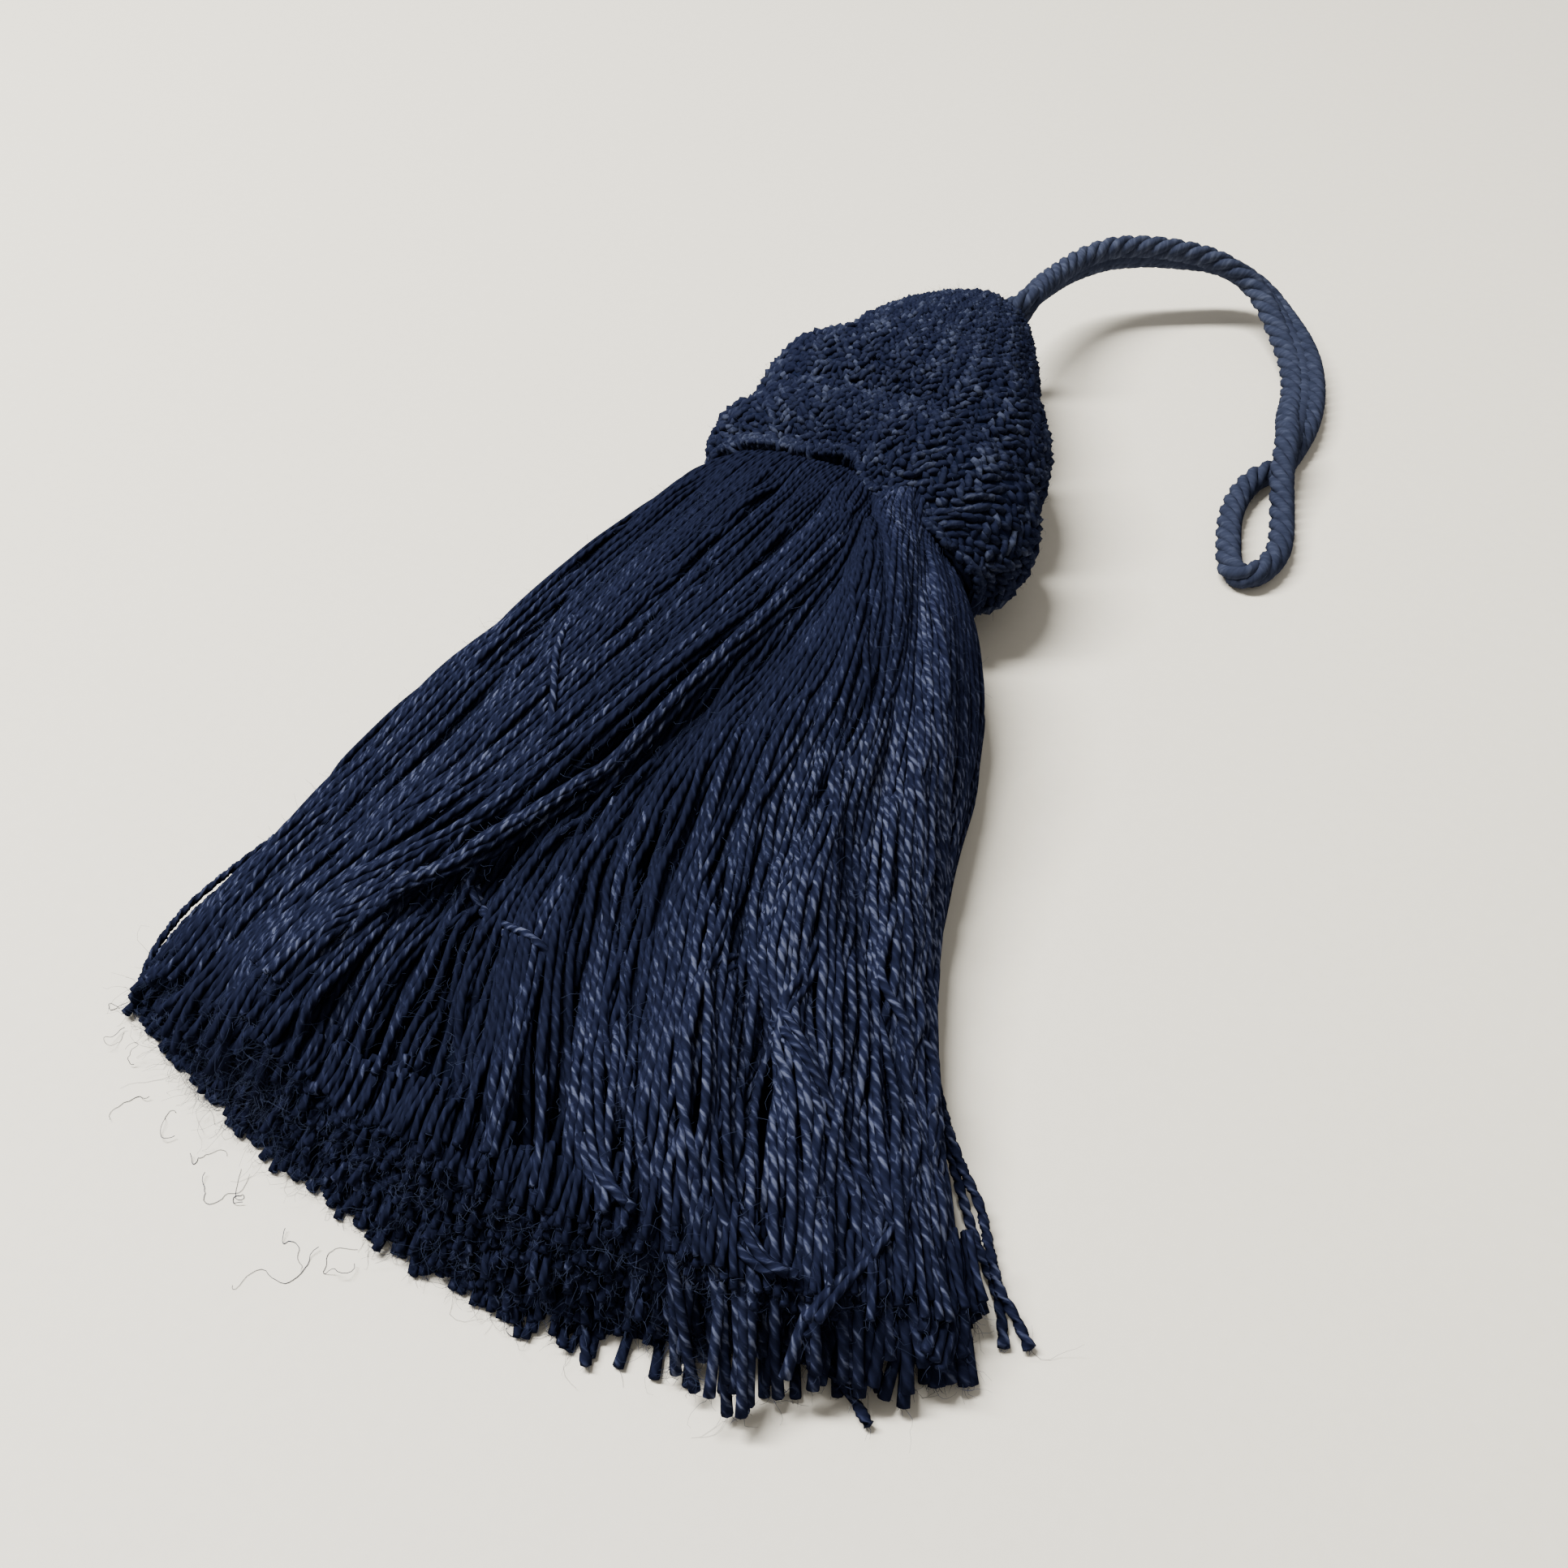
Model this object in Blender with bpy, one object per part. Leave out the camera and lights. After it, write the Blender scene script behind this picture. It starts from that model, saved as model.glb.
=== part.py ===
"""A yarn tassel lying on its side: a skirt of cut strands, a knitted cap over
the head and a doubled hanging loop.

The tassel lies along Y with its cut edge towards -Y and its cap towards +Y,
and rests on the plane z = 0. Lengths below are millimetres, and MM turns
them into metres. "Along" is a place on the tassel's length, counted from the
corners of its cut edge, and MIDDLE is the place that lies over the origin.
"""

import math

import bmesh
import bpy
from mathutils import Vector

MM = 0.001
MIDDLE = 53.7          # "along" of the origin, halfway from cut edge to cap top
GAP = 0.45             # room between the skirt's neck and the cap's mouth

# ---- skirt ---------------------------------------------------------------
NECK_ALONG = 80.0      # where the strands start, inside the cap
CUT_BULGE = 9.6        # how far the cut edge bows out past its corners
CUT_PEAK_X = 8.0       # where it bows out furthest
CUT_LEFT_X = -35.0     # its left corner
CUT_RIGHT_X = 35.0     # its right corner
SET_BACK = 4.6         # how much shorter the top strands end than the lowest
SET_BACK_RIGHT = 1.2   # the same at the right, where they drape over the cut
TEETH = 12             # tufts along the cut edge
TOOTH_DEPTH = 1.5      # depth of the notches between tufts

SKIRT_RINGS = 33
SKIRT_TOP_POINTS = 73
SKIRT_UNDER_POINTS = 15

# One row a station. run: 0 at the neck, 1 at the cut edge. left, right: side
# edges (x). crown: height of the highest strands. base: lowest strands.
# brow: height of the side edges. peak: where the crown is, -1 left to 1 right.
# flat: share of the half width that is flat underneath.
SKIRT_COLUMNS = ("run", "left", "right", "crown", "base", "brow", "peak", "flat")
SKIRT_ROWS = (
    (0.00, -20.4, 7.2, 13.0, 3.4, 6.5, 0.10, 0.35),
    (0.06, -20.5, 7.3, 13.1, 3.4, 6.5, 0.12, 0.35),
    (0.09, -22.2, 7.3, 13.1, 3.4, 6.2, 0.15, 0.35),
    (0.125, -24.0, 7.3, 13.6, 3.2, 5.8, 0.20, 0.40),
    (0.20, -26.3, 12.2, 16.0, 1.0, 3.6, 0.25, 0.60),
    (0.30, -28.8, 15.9, 15.8, 0.0, 2.4, 0.25, 0.84),
    (0.40, -30.9, 18.0, 14.8, 0.0, 2.0, 0.25, 0.86),
    (0.50, -32.5, 19.2, 13.8, 0.0, 1.8, 0.25, 0.88),
    (0.60, -33.4, 20.8, 12.8, 0.0, 1.6, 0.25, 0.88),
    (0.70, -33.9, 23.3, 11.8, 0.0, 1.5, 0.20, 0.88),
    (0.80, -34.2, 26.5, 10.9, 0.0, 1.4, 0.15, 0.88),
    (0.90, -34.6, 30.6, 10.0, 0.0, 1.3, 0.10, 0.88),
    (1.00, -35.0, 35.0, 9.2, 0.0, 1.2, 0.10, 0.88),
)

# Locks stand out of the skirt's top and valleys sink into it. rise: height,
# under 0 for a valley. width: half width, as a share of the half width of
# the skirt. The other columns are the lock's place across the skirt, from
# -1 left to 1 right, at the runs in LOCK_RUNS.
LOCK_RUNS = (0.10, 0.30, 0.50, 0.70, 0.85, 1.00)
LOCK_COLUMNS = ("name", "rise", "width", "places")
LOCKS = (
    ("left edge lock", 0.5, 0.10, (-0.70, -0.80, -0.84, -0.86, -0.87, -0.87)),
    ("left panel dip", -0.4, 0.14, (-0.48, -0.60, -0.66, -0.72, -0.76, -0.78)),
    ("left panel lock", 0.5, 0.14, (-0.20, -0.36, -0.46, -0.54, -0.60, -0.63)),
    ("crossing ridge", 1.7, 0.09, (0.34, 0.23, 0.03, -0.22, -0.52, -0.58)),
    ("dark valley", -1.9, 0.11, (0.38, 0.31, 0.15, -0.02, -0.30, -0.34)),
    ("curled tufts", 0.6, 0.09, (0.40, 0.36, 0.12, 0.02, -0.02, -0.06)),
    ("middle groove", -0.7, 0.06, (0.42, 0.35, 0.20, 0.16, 0.16, 0.16)),
    ("middle lock", 1.0, 0.09, (0.46, 0.38, 0.28, 0.29, 0.34, 0.40)),
    ("second lock", 0.8, 0.06, (0.52, 0.46, 0.43, 0.46, 0.50, 0.56)),
    ("long group", 0.9, 0.08, (0.60, 0.56, 0.59, 0.68, 0.72, 0.75)),
    ("right groove", -0.9, 0.05, (0.64, 0.70, 0.75, 0.80, 0.82, 0.82)),
    ("right lobe", 1.3, 0.09, (0.70, 0.84, 0.88, 0.90, 0.91, 0.90)),
)
LOCK_START = 0.11      # locks fade in from here, clear of the cap
LOCK_FULL = 0.26

# ---- cap -----------------------------------------------------------------
CAP_POINTS = 40
CAP_TOP_ALONG = 117.0  # the closed top
CAP_TOP_X = -4.6
CAP_TOP_Z = 10.6
MOUTH_DEPTH = 0.5      # room past the end of the skirt's neck
MOUTH_STEPS = 2

# Rings from the rim to the top. along: where the ring's middle is. middle,
# half: its middle and half width (x). top, base: heights. slant: how much
# further along its left side lies, for each millimetre across.
CAP_COLUMNS = ("along", "middle", "half", "top", "base", "slant")
CAP_ROWS = (
    (72.6, -5.4, 16.4, 15.3, 1.2, 0.20),
    (74.0, -5.2, 17.9, 16.6, 0.3, 0.20),
    (76.6, -5.0, 18.4, 17.5, 0.0, 0.18),
    (79.8, -4.8, 18.1, 17.8, 0.0, 0.14),
    (82.2, -4.8, 17.2, 17.2, 0.0, 0.11),
    (83.6, -5.0, 16.3, 16.5, 0.0, 0.09),
    (85.2, -5.1, 16.5, 17.2, 0.0, 0.09),
    (88.5, -5.2, 16.4, 18.0, 0.0, 0.11),
    (92.5, -5.5, 15.6, 17.9, 0.0, 0.13),
    (96.3, -5.8, 14.2, 17.2, 0.1, 0.15),
    (98.3, -6.0, 13.1, 16.0, 0.2, 0.15),
    (100.0, -6.2, 12.9, 16.3, 0.3, 0.14),
    (103.0, -6.4, 12.2, 16.1, 0.4, 0.11),
    (107.5, -6.6, 10.5, 15.1, 0.9, 0.07),
    (111.3, -6.6, 8.6, 14.0, 2.0, 0.04),
    (114.5, -6.0, 6.4, 13.0, 4.0, 0.0),
    (116.3, -5.2, 3.6, 12.0, 6.6, 0.0),
)

# ---- hanging loop --------------------------------------------------------
CORD_DIAMETER = 2.5
LEG_SPACING = 2.7      # between the two legs' middles where they lie together
CORD_STEP = 2.6        # between the points of the finished tube

# The doubled stretch, from the cap to the crossing: the place between the
# two legs (x, y, z), and roll, the angle in degrees of the first leg round
# it. At 0 the first leg is on the right of the way out, at 90 on top.
DOUBLED_COLUMNS = ("x", "y", "z", "roll")
DOUBLED_ROWS = (
    (-1.8, 64.2, 10.3, 66),
    (-2.1, 69.6, 9.5, 57),
    (-1.5, 74.7, 8.9, 56),
    (-0.5, 79.0, 8.6, 58),
    (1.1, 82.2, 8.6, 61),
    (3.0, 84.4, 8.7, 60),
    (5.1, 86.0, 8.6, 57),
    (7.2, 87.2, 8.5, 52),
    (9.5, 88.4, 8.2, 48),
    (11.7, 89.5, 7.8, 42),
    (14.1, 90.5, 7.3, 34),
    (16.7, 91.0, 6.5, 28),
    (19.1, 91.0, 5.5, 28),
    (21.2, 90.1, 4.6, 29),
    (23.1, 88.4, 3.8, 26),
    (24.9, 86.2, 3.1, 16),
    (26.7, 83.4, 2.6, 5),
    (28.4, 80.0, 2.2, 0),
    (29.7, 76.0, 1.9, 0),
    (30.6, 71.3, 1.8, 2),
    (31.0, 66.0, 2.2, 22),
    (31.2, 60.9, 2.6, 66),
    (31.1, 57.6, 2.7, 92),
)
# The eye, from the crossing's upper leg round to its lower leg (x, y, z).
EYE_ROUTE = (
    (31.8, 53.6, 3.0),
    (32.8, 50.0, 1.9),
    (33.7, 46.2, 1.3),
    (34.2, 42.2, 1.3),
    (33.8, 39.2, 1.3),
    (32.9, 37.2, 1.3),
    (31.5, 36.3, 1.3),
    (30.2, 37.6, 1.3),
    (29.1, 41.6, 1.3),
    (28.3, 45.8, 1.3),
    (28.2, 50.0, 1.3),
    (29.0, 54.0, 1.3),
)

# Colours are linear RGB.
YARN_NAVY = (0.018, 0.027, 0.066)
CAP_NAVY = (0.015, 0.022, 0.055)
CORD_NAVY = (0.020, 0.029, 0.068)


def clear_scene():
    for old in list(bpy.data.objects):
        bpy.data.objects.remove(old, do_unlink=True)


def yarn_material(name, colour, roughness):
    material = bpy.data.materials.new(name)
    material.use_nodes = True
    shader = material.node_tree.nodes["Principled BSDF"]
    shader.inputs["Base Color"].default_value = (*colour, 1.0)
    shader.inputs["Roughness"].default_value = roughness
    shader.inputs["Metallic"].default_value = 0.0
    return material


def between(rows, columns, key, value):
    """A row read at value in the column key, straight between table rows."""
    place = columns.index(key)
    for low, high in zip(rows, rows[1:]):
        if value <= high[place]:
            break
    share = (value - low[place]) / (high[place] - low[place])
    share = min(1.0, max(0.0, share))
    return dict(zip(columns, (a + share * (b - a) for a, b in zip(low, high))))


def smooth_step(low, high, value):
    share = min(1.0, max(0.0, (value - low) / (high - low)))
    return share * share * (3.0 - 2.0 * share)


def cut_edge(x):
    """Where along the tassel the lowest strands end, at x."""
    if x < CUT_PEAK_X:
        share = min(1.0, (CUT_PEAK_X - x) / (CUT_PEAK_X - CUT_LEFT_X))
        return -CUT_BULGE * (1.0 - share ** 1.8)
    share = min(1.0, (x - CUT_PEAK_X) / (CUT_RIGHT_X - CUT_PEAK_X))
    return -CUT_BULGE * (1.0 - share ** 2.5)


def lock_place(places, run):
    rows = tuple(zip(LOCK_RUNS, places))
    return between(rows, ("run", "place"), "run", run)["place"]


def lock_relief(across, run):
    """How far the locks and valleys lift the skirt's top."""
    lift = 0.0
    for _, rise, width, places in LOCKS:
        distance = (across - lock_place(places, run)) / width
        lift += rise * math.exp(-distance * distance)
    return lift * smooth_step(LOCK_START, LOCK_FULL, run)


def skirt_end(across, lift_share):
    """Where strands at this place across the skirt end, by their height."""
    end_x = CUT_LEFT_X + (across + 1.0) / 2.0 * (CUT_RIGHT_X - CUT_LEFT_X)
    set_back = SET_BACK + (SET_BACK_RIGHT - SET_BACK) * smooth_step(0.3, 0.6, across)
    tuft = 0.5 - 0.5 * math.cos(math.tau * TEETH * (across + 1.0) / 2.0)
    notch = TOOTH_DEPTH * (1.0 - tuft) * lift_share
    return cut_edge(end_x) + set_back * lift_share + notch


def skirt_point(across, run, row, z, lift_share):
    half = (row["right"] - row["left"]) / 2.0
    x = (row["left"] + row["right"]) / 2.0 + across * half
    along = NECK_ALONG - run * (NECK_ALONG - skirt_end(across, lift_share))
    return Vector((x, along - MIDDLE, z)) * MM


def skirt_top_height(across, run, row):
    side = -1.0 if across < row["peak"] else 1.0
    power = 2.0 if side < 0.0 else 2.6
    share = abs(across - row["peak"]) / abs(side - row["peak"])
    dome = math.sqrt(max(0.0, 1.0 - share ** power))
    height = row["brow"] + (row["crown"] - row["brow"]) * dome
    return height + lock_relief(across, run) * dome


def skirt_ring(run):
    row = between(SKIRT_ROWS, SKIRT_COLUMNS, "run", run)
    ring = []
    for i in range(SKIRT_TOP_POINTS):
        across = -math.cos(math.pi * i / (SKIRT_TOP_POINTS - 1))
        z = skirt_top_height(across, run, row)
        lift_share = (z - row["base"]) / (row["crown"] - row["base"])
        ring.append(skirt_point(across, run, row, z, lift_share))
    for i in range(SKIRT_UNDER_POINTS):
        across = 1.0 - 2.0 * (i + 1) / (SKIRT_UNDER_POINTS + 1)
        turn = max(0.0, (abs(across) - row["flat"]) / (1.0 - row["flat"]))
        z = row["base"] + (row["brow"] - row["base"]) * (1.0 - math.sqrt(1.0 - turn * turn))
        ring.append(skirt_point(across, run, row, z, 0.0))
    return ring


def loft(mesh, rings):
    """Walls between rings of equal count. Returns the rings' vertices."""
    made = [[mesh.verts.new(point) for point in ring] for ring in rings]
    for low, high in zip(made, made[1:]):
        for i in range(len(low)):
            j = (i + 1) % len(low)
            mesh.faces.new((low[i], low[j], high[j], high[i]))
    return made


def close_end(mesh, ring, middle):
    """A fan from a ring to its middle point."""
    point = mesh.verts.new(middle)
    for i in range(len(ring)):
        mesh.faces.new((ring[i], ring[(i + 1) % len(ring)], point))


def average(points):
    return sum(points, Vector()) / len(points)


def close_skirt_end(mesh, ring):
    """Joins the top of an end ring to its underside, strip by strip."""
    top = ring[:SKIRT_TOP_POINTS]
    under = [top[0]] + ring[SKIRT_TOP_POINTS:][::-1] + [top[-1]]
    low = 0
    high = 0
    while low < len(under) - 1 or high < len(top) - 1:
        step_top = low == len(under) - 1 or (
            high < len(top) - 1 and top[high + 1].co.x <= under[low + 1].co.x
        )
        if step_top:
            corners = (under[low], top[high], top[high + 1])
            high += 1
        else:
            corners = (under[low], top[high], under[low + 1])
            low += 1
        if len(set(corners)) == 3:
            mesh.faces.new(corners)


def add_object(name, mesh, material):
    bmesh.ops.recalc_face_normals(mesh, faces=mesh.faces[:])
    data = bpy.data.meshes.new(name)
    mesh.to_mesh(data)
    mesh.free()
    data.shade_smooth()
    data.materials.append(material)
    made = bpy.data.objects.new(name, data)
    bpy.context.scene.collection.objects.link(made)
    return made


def make_skirt():
    mesh = bmesh.new()
    runs = [i / (SKIRT_RINGS - 1) for i in range(SKIRT_RINGS)]
    rings = loft(mesh, [skirt_ring(run) for run in runs])
    close_skirt_end(mesh, rings[0])
    close_skirt_end(mesh, rings[-1])
    return add_object("skirt", mesh, yarn_material("skirt_yarn", YARN_NAVY, 0.62))


def cap_ring(row):
    """One ring of the cap: rounded, and flatter underneath."""
    ring = []
    waist = row["base"] + 0.45 * (row["top"] - row["base"])
    for i in range(CAP_POINTS):
        turn = math.tau * i / CAP_POINTS
        x = row["half"] * math.copysign(abs(math.cos(turn)) ** 0.95, math.cos(turn))
        if math.sin(turn) >= 0.0:
            z = waist + (row["top"] - waist) * math.sin(turn) ** 0.95
        else:
            z = waist - (waist - row["base"]) * abs(math.sin(turn)) ** 0.7
        along = row["along"] - row["slant"] * x
        ring.append(Vector((row["middle"] + x, along - MIDDLE, z)) * MM)
    return ring


def mouth_ring(share):
    """The mouth's wall, GAP clear of the skirt's neck, from the rim in."""
    rim = dict(zip(CAP_COLUMNS, CAP_ROWS[0]))
    neck = dict(zip(SKIRT_COLUMNS, SKIRT_ROWS[1]))
    half = (neck["right"] - neck["left"]) / 2.0 + GAP
    middle = (neck["right"] + neck["left"]) / 2.0
    top = neck["crown"] + GAP
    base = neck["base"] - GAP
    waist = neck["brow"]
    ring = []
    for i in range(CAP_POINTS):
        turn = math.tau * i / CAP_POINTS
        x = middle + half * math.copysign(abs(math.cos(turn)) ** 0.7, math.cos(turn))
        if math.sin(turn) >= 0.0:
            z = waist + (top - waist) * math.sin(turn) ** 0.7
        else:
            z = waist - (waist - base) * abs(math.sin(turn)) ** 0.5
        start = rim["along"] - rim["slant"] * (x - rim["middle"])
        along = start + share * (NECK_ALONG + MOUTH_DEPTH - start)
        ring.append(Vector((x, along - MIDDLE, z)) * MM)
    return ring


def make_cap():
    mesh = bmesh.new()
    mouth = [mouth_ring(1.0 - i / MOUTH_STEPS) for i in range(MOUTH_STEPS + 1)]
    outside = [cap_ring(dict(zip(CAP_COLUMNS, row))) for row in CAP_ROWS]
    rings = loft(mesh, mouth + outside)
    close_end(mesh, rings[0], average([vert.co for vert in rings[0]]))
    top = Vector((CAP_TOP_X, CAP_TOP_ALONG - MIDDLE, CAP_TOP_Z)) * MM
    close_end(mesh, rings[-1], top)
    return add_object("cap", mesh, yarn_material("cap_knit", CAP_NAVY, 0.75))


def doubled_legs():
    """The route's points for the first leg out and the second leg."""
    middles = [Vector(row[:3]) for row in DOUBLED_ROWS]
    first = []
    second = []
    for i, row in enumerate(DOUBLED_ROWS):
        ahead = middles[min(i + 1, len(middles) - 1)]
        behind = middles[max(i - 1, 0)]
        right = (ahead - behind).cross(Vector((0.0, 0.0, 1.0))).normalized()
        roll = math.radians(row[3])
        up = Vector((0.0, 0.0, 1.0))
        side = (right * math.cos(roll) + up * math.sin(roll)) * LEG_SPACING / 2.0
        first.append(middles[i] + side)
        second.append(middles[i] - side)
    return first, second


def smooth_curve(points, steps):
    """A Catmull-Rom curve through the route's points."""
    ends = [2.0 * points[0] - points[1], *points, 2.0 * points[-1] - points[-2]]
    curve = []
    for a, b, c, d in zip(ends, ends[1:], ends[2:], ends[3:]):
        for k in range(steps):
            t = k / steps
            curve.append(0.5 * ((2.0 * b) + (c - a) * t
                                + (2.0 * a - 5.0 * b + 4.0 * c - d) * t * t
                                + (3.0 * b - a - 3.0 * c + d) * t ** 3))
    curve.append(points[-1].copy())
    return curve


def even_points(curve, step):
    """The curve read at even spacing."""
    lengths = [(b - a).length for a, b in zip(curve, curve[1:])]
    count = max(2, round(sum(lengths) / step))
    spacing = sum(lengths) / count
    points = [curve[0]]
    travelled = 0.0
    for (a, b), length in zip(zip(curve, curve[1:]), lengths):
        while len(points) < count and travelled + length >= spacing * len(points):
            points.append(a.lerp(b, (spacing * len(points) - travelled) / length))
        travelled += length
    points.append(curve[-1])
    return points


def make_loop():
    first, second = doubled_legs()
    route = first + [Vector(point) for point in EYE_ROUTE] + second[::-1]
    points = even_points(smooth_curve(route, 12), CORD_STEP)
    curve = bpy.data.curves.new("loop_cord", "CURVE")
    curve.dimensions = "3D"
    curve.bevel_depth = CORD_DIAMETER / 2.0 * MM
    curve.bevel_resolution = 2
    curve.use_fill_caps = True
    spline = curve.splines.new("POLY")
    spline.points.add(len(points) - 1)
    for knot, point in zip(spline.points, points):
        knot.co = (*(point * MM), 1.0)
    curve.materials.append(yarn_material("loop_yarn", CORD_NAVY, 0.6))
    made = bpy.data.objects.new("loop_cord", curve)
    bpy.context.scene.collection.objects.link(made)
    return made


def main():
    clear_scene()
    make_skirt()
    make_cap()
    make_loop()


main()
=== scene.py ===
"""A navy yarn tassel lying on a pale table: two-ply strands, a stitched cap
and a plied hanging loop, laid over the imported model's solids."""
import math

import bpy
import numpy as np
from mathutils import Matrix, Vector
from mathutils.bvhtree import BVHTree


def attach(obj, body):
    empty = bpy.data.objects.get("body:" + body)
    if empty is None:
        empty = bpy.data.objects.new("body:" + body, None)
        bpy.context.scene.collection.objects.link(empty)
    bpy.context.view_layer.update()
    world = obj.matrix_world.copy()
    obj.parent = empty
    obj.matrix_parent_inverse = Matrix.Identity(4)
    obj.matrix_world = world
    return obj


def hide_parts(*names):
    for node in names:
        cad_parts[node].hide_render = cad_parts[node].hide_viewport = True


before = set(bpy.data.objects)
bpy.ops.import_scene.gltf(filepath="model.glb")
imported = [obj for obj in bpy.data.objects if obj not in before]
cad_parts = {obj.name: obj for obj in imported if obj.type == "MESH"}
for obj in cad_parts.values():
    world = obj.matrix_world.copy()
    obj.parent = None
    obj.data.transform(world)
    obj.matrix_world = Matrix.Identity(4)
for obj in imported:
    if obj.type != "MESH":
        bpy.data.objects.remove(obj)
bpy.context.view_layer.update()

MM = 0.001
MIDDLE = 53.7          # the y of 0, as a distance along the tassel, mm
TURN = 2 * math.pi
UP = np.array((0.0, 0.0, 1.0))
rng = np.random.default_rng(7)

# ---- yarn ---------------------------------------------------------------
STRAND_R = 0.335       # outer radius of a two-ply strand, mm
HALF_PITCH = 1.22      # from one ply's crown to the next, mm
STITCH_PITCH = 1.5     # the same in the cap's yarn
# The radii round a yarn, as shares of its own.
TWO_PLY = np.array((1.0, 0.9, 0.7, 0.9) * 2)
TUBE, THIN_TUBE, STITCH, THICK_TUBE = np.ones(7), np.ones(5), np.ones(4), np.ones(10)

# ---- skirt ----------------------------------------------------------------
# Its edges, as in the solids. A run goes from 0 in the cap to 1 at the cut.
NECK_ALONG = 80.0
SKIRT_LENGTH = 85.0    # of a usual strand, mm
CUT_BULGE, CUT_PEAK_X = 9.6, 8.0
CUT_LEFT_X, CUT_RIGHT_X = -35.0, 35.0
SET_BACK, SET_BACK_RIGHT = 4.6, 1.2      # of the top strands' ends, mm
EDGE_RUNS = (0, 0.06, 0.09, 0.125, 0.2, 0.3, 0.4, 0.5, 0.6, 0.7, 0.8, 0.9, 1)
LEFT_EDGE = (-20.4, -20.5, -22.2, -24, -26.3, -28.8, -30.9, -32.5, -33.4, -33.9, -34.2, -34.6, -35)
RIGHT_EDGE = (7.2, 7.3, 7.3, 7.3, 12.2, 15.9, 18, 19.2, 20.8, 23.3, 26.5, 30.6, 35)
EDGE_BASES = (3.4, 3.4, 3.4, 3.2, 1, 0, 0, 0, 0, 0, 0, 0, 0)

# Guide lines of the strands: place across the skirt in hundredths, -100 left
# to 100 right, at the runs in GUIDE_RUNS. The left panel ends in the ridge
# that crosses the skirt. The right fan starts under the panel and comes out
# beside it.
GUIDE_RUNS = np.array((2, 10, 20, 30, 40, 50, 60, 70, 80, 90, 100)) / 100
PANEL_GUIDES = np.array((
    (-98,) * 11,
    (-74, -70, -73, -74, -74, -76, -79, -82, -85, -88, -89),
    (-42, -39, -44, -46, -45, -47, -52, -59, -67, -75, -77),
    (-18, -17, -16, -24, -31, -36, -43, -51, -58, -66, -70),
    (22, 26, 19, 6, -3, -10, -19, -30, -44, -57, -62),
    (30, 33, 34, 24, 13, 1, -9, -22, -40, -52, -56),
)) / 100
PANEL_PLACES = np.array((0, 20, 44, 64, 88, 100)) / 100
FAN_GUIDES = np.array((
    (26, 28, 28, 16, 4, -10, -20, -32, -45, -52, -53),
    (28, 30, 30, 20, 9, -4, -14, -25, -35, -40, -37),
    (29, 32, 32, 22, 12, 2, -7, -18, -27, -23, -19),
    (30, 33, 34, 25, 15, 5, -4, -12, -10, -4, 2),
    (31, 34, 35, 26, 17, 9, 2, 0, 5, 11, 16),
    (32, 35, 36, 28, 21, 17, 17, 19, 24, 29, 32),
    (36, 42, 43, 39, 37, 34, 34, 33, 34, 37, 40),
    (40, 46, 48, 49, 49, 47, 47, 48, 50, 53, 55),
    (44, 50, 52, 55, 58, 59, 61, 63, 65, 65, 66),
    (50, 56, 58, 60, 65, 68, 71, 75, 77, 77, 76),
    (56, 62, 62, 65, 73, 80, 85, 88, 88, 88, 87),
    (62, 65, 67, 75, 84, 89, 93, 95, 95, 94, 93),
    (98,) * 11,
)) / 100
FAN_PLACES = np.array((0, 8, 15, 23, 31, 40, 47, 55, 62, 69, 77, 86, 100)) / 100

# Borders of the locks that the strands lie in, as shares of each family.
PANEL_LOCKS = np.array((0, 8, 19, 27, 38, 46, 57, 66, 74, 85, 93, 100.1)) / 100
FAN_LOCKS = np.array((0, 5, 11, 17, 22, 29, 34, 40, 45, 52, 56, 62, 67, 74, 79, 86, 93,
                      100.1)) / 100
PANEL = (PANEL_GUIDES, PANEL_PLACES, PANEL_LOCKS)
FAN = (FAN_GUIDES, FAN_PLACES, FAN_LOCKS)

# Locks that lie on top of the others: strands, width mm, lift mm and tone,
# then their middle's runs and places across, in hundredths.
TOP_LOCKS = (
    (4, 1.5, 0.75, 0.62, 12, 36, 20, 34, 31, 24, 42, 14, 52, 6, 59, -1, 64, -9, 69, -17, 75, -27,
     82, -42, 90, -53, 96.5, -57),
    (3, 1.1, 0.55, 0.66, 12, 26, 20, 21, 32, 8, 42.5, 0, 51, -8, 59, -15, 65.5, -22, 71, -29,
     74.5, -36, 80, -47, 88, -61, 96, -66),
    (3, 1.7, 0.45, 0.66, 62, 56, 68, 57, 72, 58, 76, 63, 79, 69, 82, 74, 85, 77, 88, 81, 91, 84,
     93.5, 87),
    (3, 1.4, 0.3, 0.55, 62, 12, 70, 13, 80, 17, 86, 20, 90, 23, 94, 26, 96.8, 30, 97.5, 36),
    (3, 1.5, 0.35, 0.6, 66, 50, 76, 53, 84, 55, 89, 57, 93, 60, 95.5, 64, 96.5, 69),
    (2, 0.7, 0.6, 0.8, 76.5, -28, 77.8, -22, 79, -16, 80.5, -8, 81.2, 0),
    (1, 0.1, 0.55, 0.75, 79, -16, 80, -8, 80.6, -1, 81, 6),
    (2, 0.8, 0.45, 0.6, 58, 61, 63, 60, 68, 57, 72, 53, 75.5, 47),
    (1, 0.1, 0.5, 0.95, 43, -54, 47, -47, 51, -41, 54.5, -35.5, 58, -30),
    (2, 0.8, 0.35, 0.56, 80, 94, 86, 92, 91, 89, 94, 84, 96.5, 79, 99.5, 74),
    (2, 0.8, 0.4, 0.58, 66, 72, 72, 70, 78, 64, 83, 58, 88, 54.5),
    (3, 1.2, 0.35, 0.58, 62, 4, 70, 2, 78, 0, 86, 3, 93, 5, 98.5, 5.5),
)

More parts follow.
